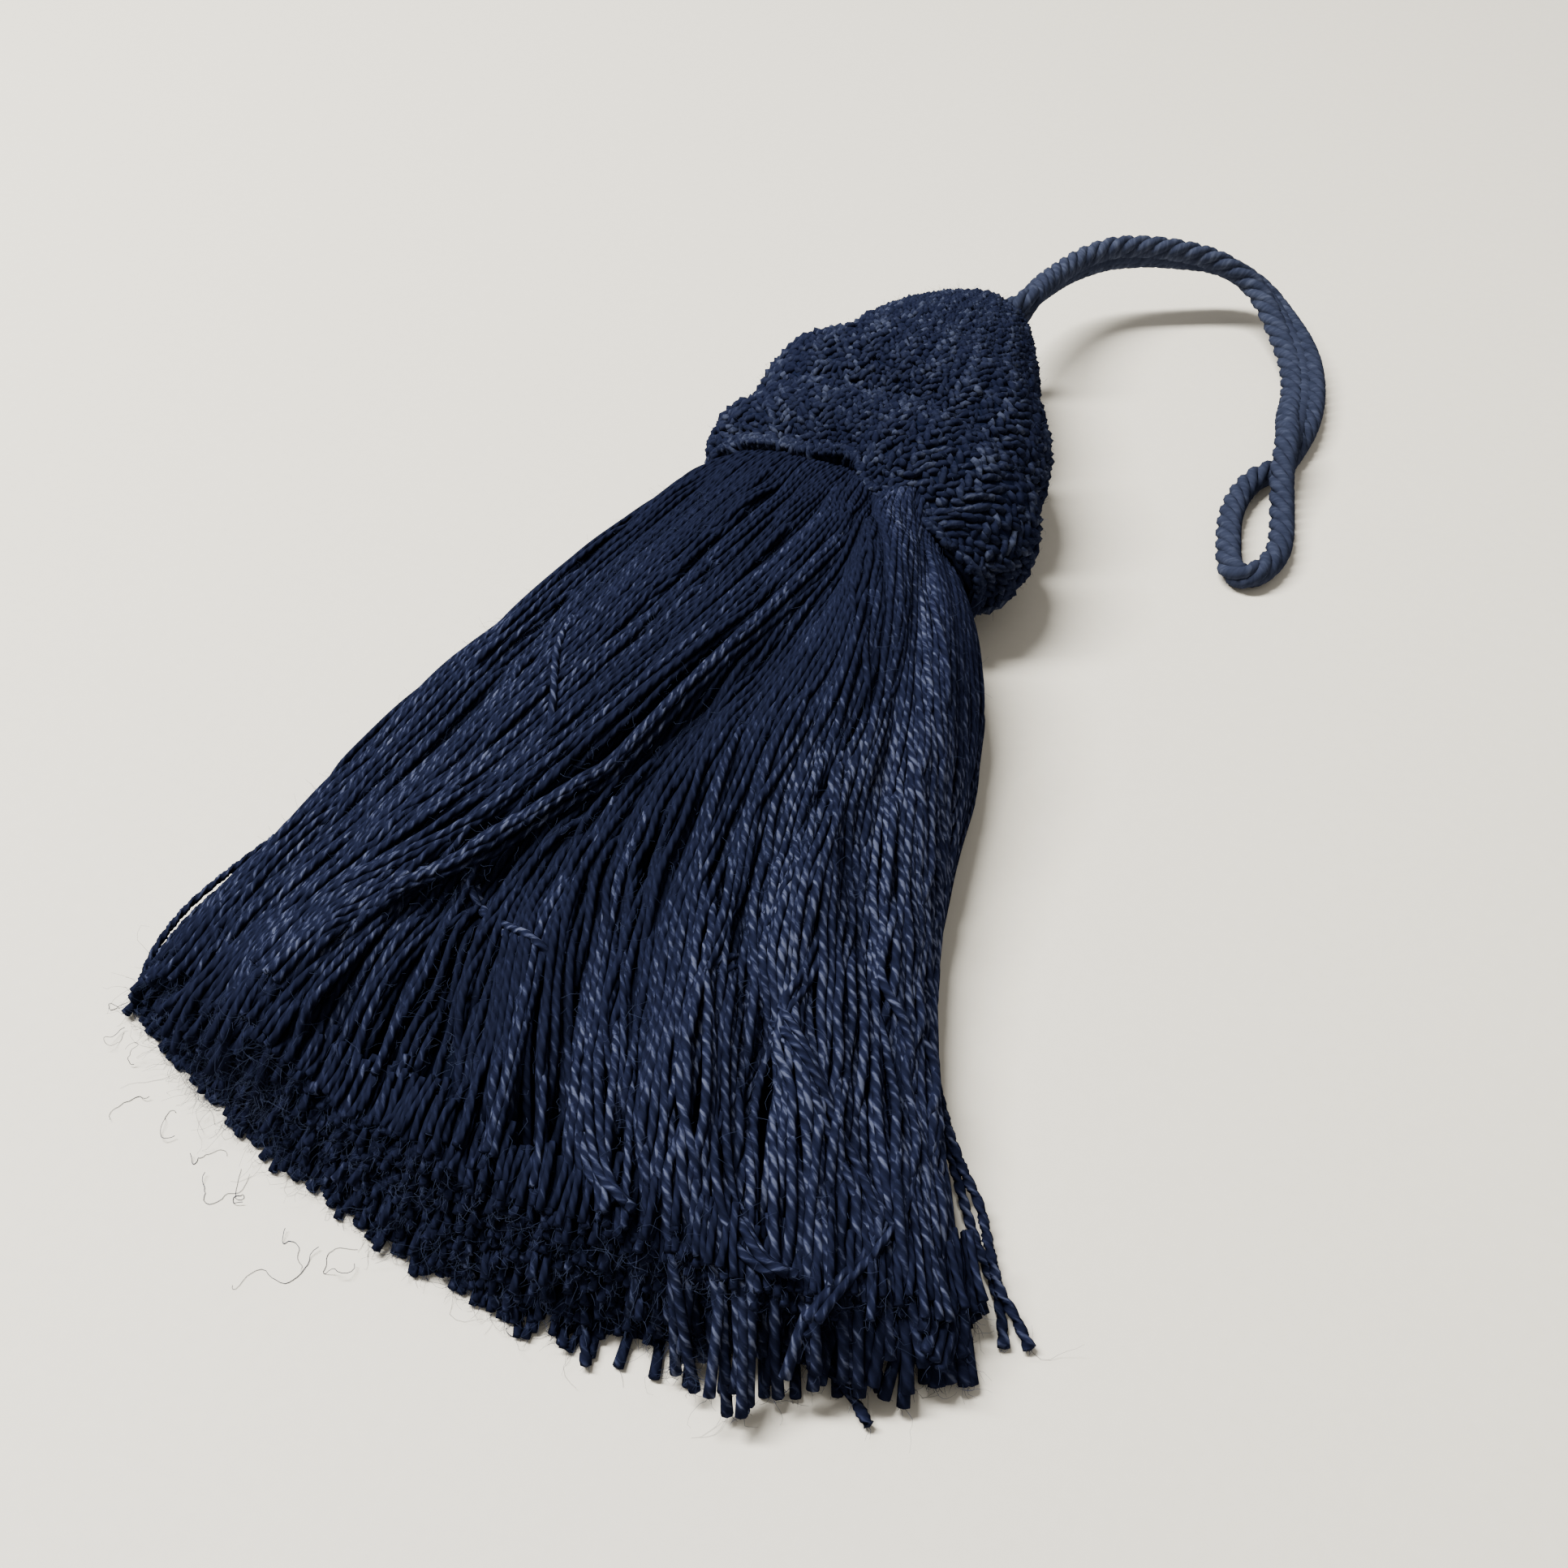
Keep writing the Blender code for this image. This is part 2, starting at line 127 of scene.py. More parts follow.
# Locks that stand out or sink in: width mm, lift mm and tone, then their
# middle's runs and places across, in hundredths. The tone is painted light
# and shade: darker where a lock sinks, in the hollow under the ridge and at
# the neck, lighter where a lock stands out, and a painted sheen on the right fan.
ZONES = (
    (2.6, 0.3, 0.33, 10, 56, 18, 59, 24, 71, 33, 81, 42, 88, 53, 93, 64, 96, 95, 97),
    (2.2, 0.9, 0.2, 44, 19, 54, 27, 64, 36, 73, 43, 81, 47, 89, 49, 100, 52),
    (1.1, -1.3, -0.3, 65, 19, 76, 26, 83, 30, 89, 35, 95, 39),
    (1, -1.2, -0.3, 67, 49, 74, 54, 80, 59, 87, 59, 92, 60),
    (1.2, 0.7, 0.2, 63, 58, 71, 63, 76, 67, 81, 72, 86, 77, 91, 85),
    (1.3, -1.6, -0.35, 58, 73, 63, 77, 67, 80),
    (1.2, -1.5, -0.35, 77, 62, 82, 62),
    (1, -1.3, -0.3, 89, 77, 92, 80),
    (1.9, -1.3, -0.28, 61, -3, 67, -11, 72, -18, 76, -23, 81, -32),
    (0.8, -0.9, -0.35, 36, 13, 49, 4, 59, -6, 67, -18, 75, -31, 81, -41, 87, -49),
    (0.8, 0.4, 0.15, 45, 15, 56, 1, 64, -9, 71, -19, 77, -31, 84, -44, 91, -52, 97, -57),
    (1.6, -1.5, -0.35, 86, -21, 92, -14, 98, -9),
    (0.9, 0.5, 0.25, 83, -42, 91, -43, 99, -49),
    (0.9, 0.3, 0.2, 92, -66, 99, -69),
    (0.7, -1, -0.3, 90, -40, 96, -40),
    (0.7, -0.8, -0.25, 92, -53, 98, -56),
    (5.2, 0, -0.1, 13, 25, 27, 17, 41, 12, 52, 8, 61, 7),
    (9, 0, 0.12, 45, -60, 70, -60, 95, -65),
    (12, 0, -0.72, 40, 12, 52, 10, 64, 8, 78, 2, 90, -10),
    (7, 0, 0.1, 74, 10, 92, 16),
    (7, 0, -0.1, 12, -10, 30, -20, 50, -35, 75, -60),
    (5, -0.8, -0.16, 86, -20, 93, -12, 100, 0),
    (14, 0, 0.42, 45, 75, 70, 70, 100, 55),
    (3.9, 0, -0.05, 50, -76, 70, -71, 81, -76, 92, -80),
    (3.4, 0, -0.12, 68, -41, 73, -50, 77, -55),
    (0.9, -0.6, -0.25, 12, 45, 19, 49, 31, 59, 40, 64, 48, 61, 54, 61, 60, 58, 66, 50),
    (1.6, 0.2, 0.2, 48, 67, 53, 78, 60, 84, 68, 88, 76, 90),
    (1.4, 0.3, 0.12, 79, -2, 84, -1, 87, 4, 95, 6),
    (1.4, 0.3, 0.1, 81, 12, 86, 18, 91, 23, 94, 26),
    (0.8, -1.2, -0.35, 77, -23, 82, -19, 89, -13),
    (1, 0.3, 0.15, 74, 76, 78, 81, 83, 86, 87, 91),
    (0.9, -0.8, -0.2, 70, 86, 78, 90, 83, 93),
)

# Where the strands of the top end, by place across.
END_PLACES = (-1, -0.55, -0.38, -0.25, -0.1, 0.1, 0.3, 0.42, 0.6, 1)
END_RUNS = (1, 1, 0.985, 0.95, 0.94, 0.945, 0.955, 0.99, 1, 1)
# Locks whose ends hang down over the cut: place across, width, how much.
HANGING = ((-0.8, 0.05, 0.5), (-0.5, 0.06, 1.0), (-0.3, 0.04, 0.5), (-0.12, 0.06, 1.0),
           (0.04, 0.05, 0.8), (0.18, 0.05, 0.5), (0.5, 0.03, 0.7))
# Strands that have left the others: their radius, then places, mm.
LOOSE = (
    (0.44, 20.7, -24.5, 3.2, 23.1, -31, 3, 25.3, -35, 2.8, 27.7, -39, 2.4, 29.4, -41.3, 1.6,
     32.2, -45, 0.9, 34.1, -47.1, 0.7, 35.1, -48.4, 0.6, 35.7, -49.5, 0.5, 36.5, -51.3, 0.45),
    (0.44, 21, -25.5, 2.7, 23.4, -32, 2.6, 25.7, -35.6, 2.6, 28, -39, 2.5, 30, -41.2, 2,
     31.7, -42.8, 1.5, 33.2, -45.1, 1, 35, -48, 1.2, 36.4, -49.1, 0.9, 38.1, -50.7, 0.45),
    (0.48, 25.5, -37, 2.2, 28.1, -42.5, 2.3, 30.8, -47, 1.9, 32.3, -50, 1.3, 33.5, -52.2, 0.8,
     34.3, -53.6, 0.6, 35, -54.8, 0.49),
    (0.36, -33.6, -34, 2.9, -34.9, -38.5, 2.6, -36, -42, 2.1, -36.7, -45, 1.5, -36.6, -48.5, 0.9,
     -35.4, -52, 0.5, -34.9, -53, 0.4),
    (0.36, -34, -37.5, 2.3, -35.3, -41.5, 1.7, -36.1, -45, 1.1, -36, -49, 0.7, -35, -52.3, 0.4),
    (0.42, 23.8, -49.4, 3.4, 26.8, -55.4, 1.6, 28.3, -57.2, 0.8, 29, -58.3, 0.43),
    (0.4, 9.4, -57.4, 2.6, 11.2, -62.3, 1, 12.1, -63.9, 0.42),
    (0.42, 22, -50.6, 3.4, 26, -57, 1.7, 28.6, -58.6, 0.9, 30.4, -59.8, 0.43),
)
# Long curly fibres on the table by the cut: start, heading and length, mm.
STRAY_FIBRES = np.array((
    (-35.2, -53, 0.3, -1, -0.4, 4.3), (-34, -55.2, 0.3, -0.6, -0.8, 5),
    (-31, -57.6, 0.3, -0.8, -0.6, 3.6), (-28, -59.4, 0.3, -0.3, -1, 5),
    (-24, -61.3, 0.3, -0.5, -0.9, 6.5), (-20, -62.8, 0.3, 0.2, -1, 7.9),
    (-16, -63.6, 0.3, -0.9, -0.5, 7.2), (-12, -64, 0.3, 0.3, -1, 5.8),
    (-9, -64.2, 0.3, -0.4, -0.9, 9.4), (-6, -64.2, 0.3, 0.6, -0.8, 8.6),
    (-33.5, -49, 0.5, -1, 0.2, 3.6), (6, -63.8, 0.3, 0.2, -1, 4.3), (-22, -62, 0.3, 0.9, -0.6, 5.8),
    (24, -60, 0.3, 0.4, -1, 3.6),
))

# ---- cap -----------------------------------------------------------------
CAP_MIDDLES = np.array(((72.6, -5.4), (90.0, -5.2), (100.0, -6.2), (111.3, -6.6), (117.0, -4.6)))
CAP_SLANTS = np.array(((72.6, 0.2), (82.0, 0.11), (92.0, 0.13), (100.0, 0.14), (114.5, 0.0)))
CAP_RIM, CAP_SHOULDER = 72.7, 108.0      # distances along the tassel, mm
CAP_AXIS_Z = 8.2
CAP_ROWS = 78
RIBS = 16              # columns of raised stitches round the cap
LIP_TUFTS, LIP_STITCHES = 40, 210        # hanging down inside, and along the edge
# How far the stitches stand out along the cap: three bands, each
# overlapping the one above it.
STAND_PLACES = (0, 0.05, 0.15, 0.225, 0.245, 0.262, 0.3, 0.4, 0.5, 0.55, 0.57, 0.59, 0.63,
                0.7, 0.8, 1)
STANDS = (0, 0.1, 0.4, 0.6, 0.5, -0.6, 0, 0.5, 0.8, 0.9, 0.8, -0.6, -0.2, 0.2, 0.2, 0)

# ---- hanging loop ----------------------------------------------------------
CORD_HEIGHT = 1.45     # of its middle where it lies on the table, mm
LEG_SPACING = 2.5
PLIES, PLY_R, PLY_OUT, PLY_PITCH = 4, 0.68, 0.72, 8.4
LOOP_HEART = np.array((-4.6, 115.5 - MIDDLE, 9.6))     # where its ends go in the cap
# The route, as in the solid: the doubled part's middle and roll in degrees,
# then the eye.
DOUBLED_ROWS = np.array((
    (-1.8, 64.2, 10.3, 66), (-2.1, 69.6, 9.5, 57), (-1.5, 74.7, 8.9, 56), (-0.5, 79, 8.6, 58),
    (1.1, 82.2, 8.6, 61), (3, 84.4, 8.7, 60), (5.1, 86, 8.6, 57), (7.2, 87.2, 8.5, 52),
    (9.5, 88.4, 8.2, 48), (11.7, 89.5, 7.8, 42), (14.1, 90.5, 7.3, 34), (16.7, 91, 6.5, 28),
    (19.1, 91, 5.5, 28), (21.2, 90.1, 4.6, 29), (23.1, 88.4, 3.8, 26), (24.9, 86.2, 3.1, 16),
    (26.7, 83.4, 2.6, 5), (28.4, 80, 2.2, 0), (29.7, 76, 1.9, 0), (30.6, 71.3, 1.8, 2),
    (31, 66, 2.2, 22), (31.2, 60.9, 2.6, 66), (31.1, 57.6, 2.7, 92),
))
EYE_ROUTE = (
    (31.8, 53.6, 3), (32.8, 50, 1.9), (33.7, 46.2, 1.3), (34.2, 42.2, 1.3), (33.8, 39.2, 1.3),
    (32.9, 37.2, 1.3), (31.5, 36.3, 1.3), (30.2, 37.6, 1.3), (29.1, 41.6, 1.3), (28.3, 45.8, 1.3),
    (28.2, 50, 1.3), (29, 54, 1.3),
)


# ---- small helpers ---------------------------------------------------------
def amount(full):
    return full


def smooth_step(low, high, value):
    share = np.clip((value - low) / (high - low), 0.0, 1.0)
    return share * share * (3.0 - 2.0 * share)


def at_times(chance, value):
    return value if rng.random() < chance else 0.0


def bump(value, middle, width):
    """A smooth hill, 1 at its middle."""
    return np.exp(-((value - middle) / width) ** 2)


def unit(vectors):
    return vectors / np.maximum(np.linalg.norm(vectors, axis=-1, keepdims=True), 1e-9)


def per_point(value, count):
    return np.broadcast_to(np.asarray(value, float), (count,))


def catmull(points, steps):
    """A Catmull-Rom curve through points, steps to a span."""
    points = np.asarray(points, float)
    ends = np.vstack((2 * points[0] - points[1], points, 2 * points[-1] - points[-2]))
    t = (np.arange(steps) / steps)[None, :, None]
    a, b, c, d = (ends[i:len(ends) - 3 + i, None, :] for i in range(4))
    curve = 0.5 * (2 * b + (c - a) * t + (2 * a - 5 * b + 4 * c - d) * t * t
                   + (3 * b - a - 3 * c + d) * t ** 3)
    return np.vstack((curve.reshape(-1, points.shape[1]), points[-1:]))


def lengths_along(points):
    return np.concatenate(((0.0,), np.cumsum(np.linalg.norm(np.diff(points, axis=0), axis=1))))


def read_at(places, marks, points):
    """points, which lie at marks, read again at places."""
    return np.stack([np.interp(places, marks, column) for column in points.T], 1)


def even(points, step):
    """points read again at even spacing along their line."""
    run = lengths_along(points[:, :3])
    count = max(2, int(round(run[-1] / step)) + 1)
    return read_at(np.linspace(0.0, run[-1], count), run, points)


def thin_out(points, fine, coarse, shown):
    """points read again, fine apart where shown is 1 and coarse where 0."""
    run = lengths_along(points[:, :3])
    rate = 1.0 / (coarse + (fine - coarse) * shown)
    count = np.concatenate(((0.0,), np.cumsum(np.diff(run) * (rate[1:] + rate[:-1]) / 2)))
    return read_at(np.linspace(0.0, count[-1], max(3, int(round(count[-1])) + 1)), count, points)


def bilinear(grid, row, column):
    """grid read between its rows and columns."""
    i, j = row.astype(int), column.astype(int)
    p, q = ((share[:, None] if grid.ndim > 2 else share) for share in (row - i, column - j))
    near = grid[i, j] * (1 - q) + grid[i, j + 1] * q
    far = grid[i + 1, j] * (1 - q) + grid[i + 1, j + 1] * q
    return near * (1 - p) + far * p


def axes_along(path, up):
    """Unit vectors along a path, beside it and over it."""
    ahead = unit(np.gradient(path, axis=-2))
    side = unit(np.cross(ahead, up))
    return ahead, side, np.cross(side, ahead)


def ring_at(angle, side, over):
    angle = angle[..., None]
    return np.cos(angle) * side[..., None, :] + np.sin(angle) * over[..., None, :]


def wall_faces(rings, sides, start=0):
    """Four-cornered faces between rings of points that follow each other."""
    ring = start + np.arange(rings - 1)[:, None] * sides
    i = np.arange(sides)
    i2 = (i + 1) % sides
    return np.stack((ring + i, ring + sides + i, ring + sides + i2, ring + i2), -1).reshape(-1, 4)


# ---- pieces ----------------------------------------------------------------
def finish_piece(name, mesh, material):
    mesh.shade_smooth()
    mesh.materials.append(material)
    made = bpy.data.objects.new(name, mesh)
    bpy.context.scene.collection.objects.link(made)
    return made


def dress(piece, node):
    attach(piece, "root")
    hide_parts(node)


def keep_above(points, floor):
    points[..., 2] = np.maximum(points[..., 2], floor)
    return points


def core_piece(name, rings, material, closed=False):
    """A piece from rings of points, mm. Its last end is always closed."""
    count = len(rings[0])
    ends = [list(range(count))[::-1]] if closed else []
    ends.append(list(range(count * (len(rings) - 1), count * len(rings))))
    mesh = bpy.data.meshes.new(name)
    walls = wall_faces(len(rings), count)[:, (0, 3, 2, 1)].tolist()
    mesh.from_pydata((np.vstack(rings) * MM).tolist(), [], walls + ends)
    return finish_piece(name, mesh, material)


class Bundle:
    """Points, mm, and faces that are gathered for one piece. A face's last
    corner is -1 where it has three."""

    def __init__(self):
        self.points, self.faces, self.uvs, self.tones = [], [], [], []
        self.count = 0

    def gather(self, points, faces):
        self.points.append(points)
        self.faces.append(np.where(faces >= 0, faces + self.count, -1))
        self.count += len(points)

    def build(self, name, material):
        faces = np.vstack(self.faces)
        corners, sizes = faces[faces >= 0], (faces >= 0).sum(axis=1)
        mesh = bpy.data.meshes.new(name)
        mesh.vertices.add(self.count)
        mesh.vertices.foreach_set("co", self.flat(np.vstack(self.points) * MM))
        mesh.loops.add(len(corners))
        mesh.loops.foreach_set("vertex_index", corners.astype(np.int32))
        mesh.polygons.add(len(faces))
        mesh.polygons.foreach_set("loop_start", (np.cumsum(sizes) - sizes).astype(np.int32))
        mesh.update(calc_edges=True)
        if self.uvs:
            mesh.uv_layers.new(name="UVMap").data.foreach_set("uv", self.flat(np.vstack(self.uvs)))
            tint = mesh.color_attributes.new("tone", "FLOAT_COLOR", "POINT")
            tint.data.foreach_set("color", self.flat(np.vstack(self.tones)))
        return finish_piece(name, mesh, material)

    @staticmethod
    def flat(values):
        return values.astype(np.float32).ravel()


class Yarns(Bundle):
    """Twisted yarns."""

    def add(self, path, radius, section, half_pitch=HALF_PITCH, tone=0.5, up=UP, taper=0.3,
            soft=0.0):
        """A yarn along path (n, 3), mm. The map's first coordinate counts
        half turns of the S twist, the second goes once round from the
        underside, so the material can paint each ply's highlight and the
        shade between the plies. Only a TWO_PLY section turns with them."""
        n, k = len(path), len(section)
        ahead, side, over = axes_along(path, up)
        turn = rng.uniform(0, 60) + lengths_along(path) / half_pitch
        start = math.pi * turn if section is TWO_PLY else np.full(n, -math.pi / 2)
        angle = start[:, None] + np.arange(k + 1)[None, :] * (TURN / k)
        size = per_point(radius, n)
        reach = (size[:, None] * section[None, :])[..., None]
        body = path[:, None, :] + reach * ring_at(angle[:, :-1], side, over)
        ends = (path[0] - ahead[0] * size[0] * taper, path[-1] + ahead[-1] * size[-1] * taper)
        i, last, none = np.arange(k), (n - 1) * k, np.full(k, -1)
        i2 = (i + 1) % k
        self.gather(np.vstack((body.reshape(-1, 3), *ends)), np.vstack((
            wall_faces(n, k),
            np.stack((np.full(k, n * k), i, i2, none), -1),
            np.stack((np.full(k, n * k + 1), last + i2, last + i, none), -1))))
        around = (angle + math.pi / 2) / TURN
        place = np.stack((np.broadcast_to(turn[:, None], around.shape), around), -1)
        corner = np.stack((place[:-1, :-1], place[1:, :-1], place[1:, 1:], place[:-1, 1:]), -2)
        self.uvs.append(corner.reshape(-1, 2))
        for end in (0, -1):
            self.uvs.append(np.repeat(place[end, :-1], 3, axis=0))
        # The tone channel holds the yarn's tone with painted shade worked into it; the soft channel
        # evens out the painted ply light.
        colour = np.ones((n * k + 2, 4))
        for channel, value, at_end in ((0, tone, 0.8), (1, soft, 1.0)):
            value = per_point(value, n)
            colour[:-2, channel] = np.repeat(value, k)
            colour[-2:, channel] = value[-1] * at_end
        self.tones.append(colour)


class Fibres(Bundle):
    """Single fibres, three-sided and open at their ends."""

    def add(self, starts, directions, lengths, curl, radius, joints=4):
        """Fibres from starts, bending at random by curl at each joint."""
        n = len(starts)
        steps = lengths[:, None] / (joints - 1)
        heading = unit(directions)
        path = [starts]
        bend = rng.normal(size=(n, 3)) * curl
        for _ in range(joints - 1):
            path.append(path[-1] + heading * steps)
            bend = bend * 0.6 + rng.normal(size=(n, 3)) * curl * 0.8
            heading = unit(heading + bend)
        path = keep_above(np.stack(path, 1), 0.05)
        _, side, over = axes_along(path, np.array((0.13, 0.21, 0.97)))
        ring = ring_at(np.arange(3) * (TURN / 3), side, over)
        shrink = np.linspace(1.0, 0.45, joints)[None, :, None, None]
        points = path[:, :, None, :] + ring * radius * shrink
        first = np.arange(n)[:, None, None] * (joints * 3)
        self.gather(points.reshape(-1, 3), wall_faces(joints, 3, first))


# ---- materials ---------------------------------------------------------------
class Look:
    """A material, with short ways to add nodes to it."""

    def __init__(self, name, roughness, specular):
        self.material = bpy.data.materials.new(name)
        self.material.use_nodes = True
        self.tree = self.material.node_tree
        self.shader = self.tree.nodes["Principled BSDF"]
        self.fill(self.shader, {"Roughness": roughness, "Specular IOR Level": specular})

    def fill(self, node, inputs):
        """Gives a node's inputs numbers or other nodes' outputs."""
        for key, value in inputs.items():
            if isinstance(value, (int, float)):
                node.inputs[key].default_value = value
            else:
                self.tree.links.new(value, node.inputs[key])

    def node(self, kind, inputs, **settings):
        """A new node's outputs."""
        made = self.tree.nodes.new("ShaderNode" + kind)
        for key, value in settings.items():
            setattr(made, key, value)
        self.fill(made, inputs)
        return made.outputs

    def math(self, operation, *values):
        return self.node("Math", dict(enumerate(values)), operation=operation)[0]

    def times(self, value, *others):
        for other in others:
            value = self.math("MULTIPLY", value, other)
        return value

    def scaled(self, value, scale, plus):
        return self.math("MULTIPLY_ADD", value, scale, plus)

    def ranged(self, value, low, high, to_low, to_high, kind="LINEAR"):
        return self.node("MapRange", {"Value": value, "From Min": low, "From Max": high,
                                      "To Min": to_low, "To Max": to_high},
                         interpolation_type=kind)["Result"]

    def streaks(self, along, around, across_scale, along_scale, detail):
        """Noise drawn out along a yarn."""
        place = self.node("CombineXYZ", {"X": self.times(along, along_scale),
                                         "Y": self.times(around, across_scale)})
        return self.node("TexNoise", {"Vector": place["Vector"], "Scale": 1.0, "Detail": detail,
                                      "Roughness": 0.6})["Fac"]

    def colour(self, value, stops):
        """Colours the material by value, between stops."""
        node = self.tree.nodes.new("ShaderNodeValToRGB")
        elements = node.color_ramp.elements
        elements[0].position, elements[1].position = stops[0][0], stops[-1][0]
        for place, _ in stops[1:-1]:
            elements.new(place)
        for element, (_, colour) in zip(sorted(elements, key=lambda e: e.position), stops):
            element.color = (*colour, 1.0)
        self.fill(node, {"Fac": value})
        self.fill(self.shader, {"Base Color": node.outputs["Color"]})

    def relief(self, height, strength, distance):
        normal = self.node("Bump", {"Height": height, "Strength": strength,
                                    "Distance": distance * MM})["Normal"]
        self.fill(self.shader, {"Normal": normal})


def yarn_material(name, ramp, ply=1.0, speck=1.0, own=0.6, streak=(1.6, 7.0)):
    """Two plies twisted together, with painted light: a painted highlight
    makes a slanting streak on each ply's crown where it faces up, broken up
    by its fibres, and painted shade lies down between the plies and at the sides."""
    look = Look(name, 0.9, 0.0)
    split = look.node("SeparateXYZ", {"Vector": look.node("UVMap", {}, uv_map="UVMap")["UV"]})
    along, around = split["X"], split["Y"]
    tone = look.node("VertexColor", {}, layer_name="tone")["Color"]
    parts = look.node("SeparateColor", {"Color": tone})
    soft = parts["Green"]

    plies = look.math("SUBTRACT", look.times(around, 2.0), along)
    turned = look.times(plies, TURN)
    lobe, flank = look.math("COSINE", turned), look.math("SINE", turned)
    heading = look.scaled(flank, -0.5, look.times(around, TURN))
    # Painted light and shade: a ply is lighter where it faces up, and painted shade lies between
    # the plies and on their sides.
    painted_light_by_facing = look.times(look.math("COSINE", heading), -1.0)
    painted_light_by_facing = look.ranged(painted_light_by_facing, 0.05, 1.0, 1.0 - 0.85 * ply, 1.0, "SMOOTHSTEP")
    painted_groove_shade = look.ranged(lobe, 1.0, -0.6, 1.0 - 0.75 * ply, 1.0, "SMOOTHSTEP")
    painted_ply_light = look.times(painted_light_by_facing, painted_groove_shade, look.math("SUBTRACT", 1.0, soft))
    painted_ply_light = look.scaled(soft, 0.6, painted_ply_light)

    beside = look.scaled(along, -0.5, around)
    fibres = look.streaks(along, beside, streak[1], streak[0], 3.0)
    patches = look.streaks(along, beside, 1.7, 0.62, 1.0)
    broken = look.ranged(fibres, 0.5 - 0.22 / speck, 0.5 + 0.22 / speck, 0.3, 1.15)
    uneven = look.ranged(patches, 0.34, 0.66, 1.0 - 0.55 * speck, 1.0 + 0.2 * speck)
    mine = look.scaled(parts["Red"], 2.0 * own, 1.0 - own)
    look.colour(look.times(painted_ply_light, broken, uneven, mine), ramp)

    depth = look.scaled(fibres, 0.35, look.scaled(lobe, -0.5 * ply, 0.5))
    look.relief(depth, 0.8, 0.12)
    return look.material


def plain_material(name, dark, light, roughness, scale, bump_mm, specular=0.0):
    """A cloudy tone with a grain in it."""
    look = Look(name, roughness, specular)
    place = look.node("TexCoord", {})["Object"]
    noise = look.node("TexNoise", {"Vector": place, "Scale": scale, "Detail": 4.0})["Fac"]
    look.colour(noise, ((0.3, dark), (0.7, light)))
    look.relief(noise, 0.4, bump_mm)
    return look.material


# ---- camera, light and table -----------------------------------------------
CAMERA_PLACE = (0.043, -0.1001, 0.1)
CAMERA_TILT, CAMERA_TURN = math.radians(45.0), math.radians(24.7)
LENS = 36.09
LIGHT_ACROSS, LIGHT_BACK, LIGHT_UP = 0.31, 0.14, 0.6
LIGHT_LENGTH, LIGHT_WIDTH, LIGHT_POWER = 0.5, 0.11, 15.2
LIGHT_COLOUR, ROOM_COLOUR, ROOM_STRENGTH = (1.0, 0.985, 0.955), (1.0, 0.955, 0.9, 1.0), 0.42
TABLE_HALF = 2.5


def make_camera():
    data = bpy.data.cameras.new("camera")
    data.sensor_width, data.lens, data.clip_start = 36.0, LENS, 0.005
    camera = bpy.data.objects.new("camera", data)
    camera.location = CAMERA_PLACE
    camera.rotation_euler = (CAMERA_TILT, 0.0, CAMERA_TURN)
    bpy.context.scene.collection.objects.link(camera)
    bpy.context.scene.camera = camera


def make_lights():
    """A long narrow light over the table, from overhead away to the left."""
    across = Vector((-math.cos(CAMERA_TURN), -math.sin(CAMERA_TURN), 0.0))
    back = Vector((-math.sin(CAMERA_TURN), math.cos(CAMERA_TURN), 0.0))
    place = across * LIGHT_ACROSS + back * LIGHT_BACK + Vector((0.0, 0.0, LIGHT_UP))
    data = bpy.data.lights.new("long_light", "AREA")
    data.shape = "RECTANGLE"
    data.size, data.size_y = LIGHT_LENGTH, LIGHT_WIDTH
    data.energy, data.color = LIGHT_POWER, LIGHT_COLOUR
    lamp = bpy.data.objects.new("long_light", data)
    away = place.normalized()
    length = (across - away * across.dot(away)).normalized()
    lamp.matrix_world = Matrix((length, away.cross(length), away)).transposed().to_4x4()
    lamp.location = place
    bpy.context.scene.collection.objects.link(lamp)
    world = bpy.data.worlds.new("room")
    world.use_nodes = True
    room = world.node_tree.nodes["Background"].inputs
    room["Color"].default_value, room["Strength"].default_value = ROOM_COLOUR, ROOM_STRENGTH
    bpy.context.scene.world = world


def make_table():
    mesh = bpy.data.meshes.new("table")
    corners = [(x * TABLE_HALF, y * TABLE_HALF, 0) for x, y in ((-1, -1), (1, -1), (1, 1), (-1, 1))]
    mesh.from_pydata(corners, [], [(0, 1, 2, 3)])
    material = plain_material("table_top", (0.78, 0.74, 0.636), (0.8, 0.76, 0.656), 0.6,
                              900.0, 0.02, specular=0.5)
    finish_piece("table", mesh, material)


# ---- hanging loop -------------------------------------------------------------
def loop_route():
    """Out along one leg, round the eye and back along the other."""
    middles, roll = DOUBLED_ROWS[:, :3], np.radians(DOUBLED_ROWS[:, 3:])
    ahead = np.vstack((middles[1:], middles[-1:]))
    behind = np.vstack((middles[:1], middles[:-1]))
    right = unit(np.cross(ahead - behind, UP))
    side = (right * np.cos(roll) + UP * np.sin(roll)) * LEG_SPACING / 2
    return np.vstack((middles + side, EYE_ROUTE, (middles - side)[::-1]))


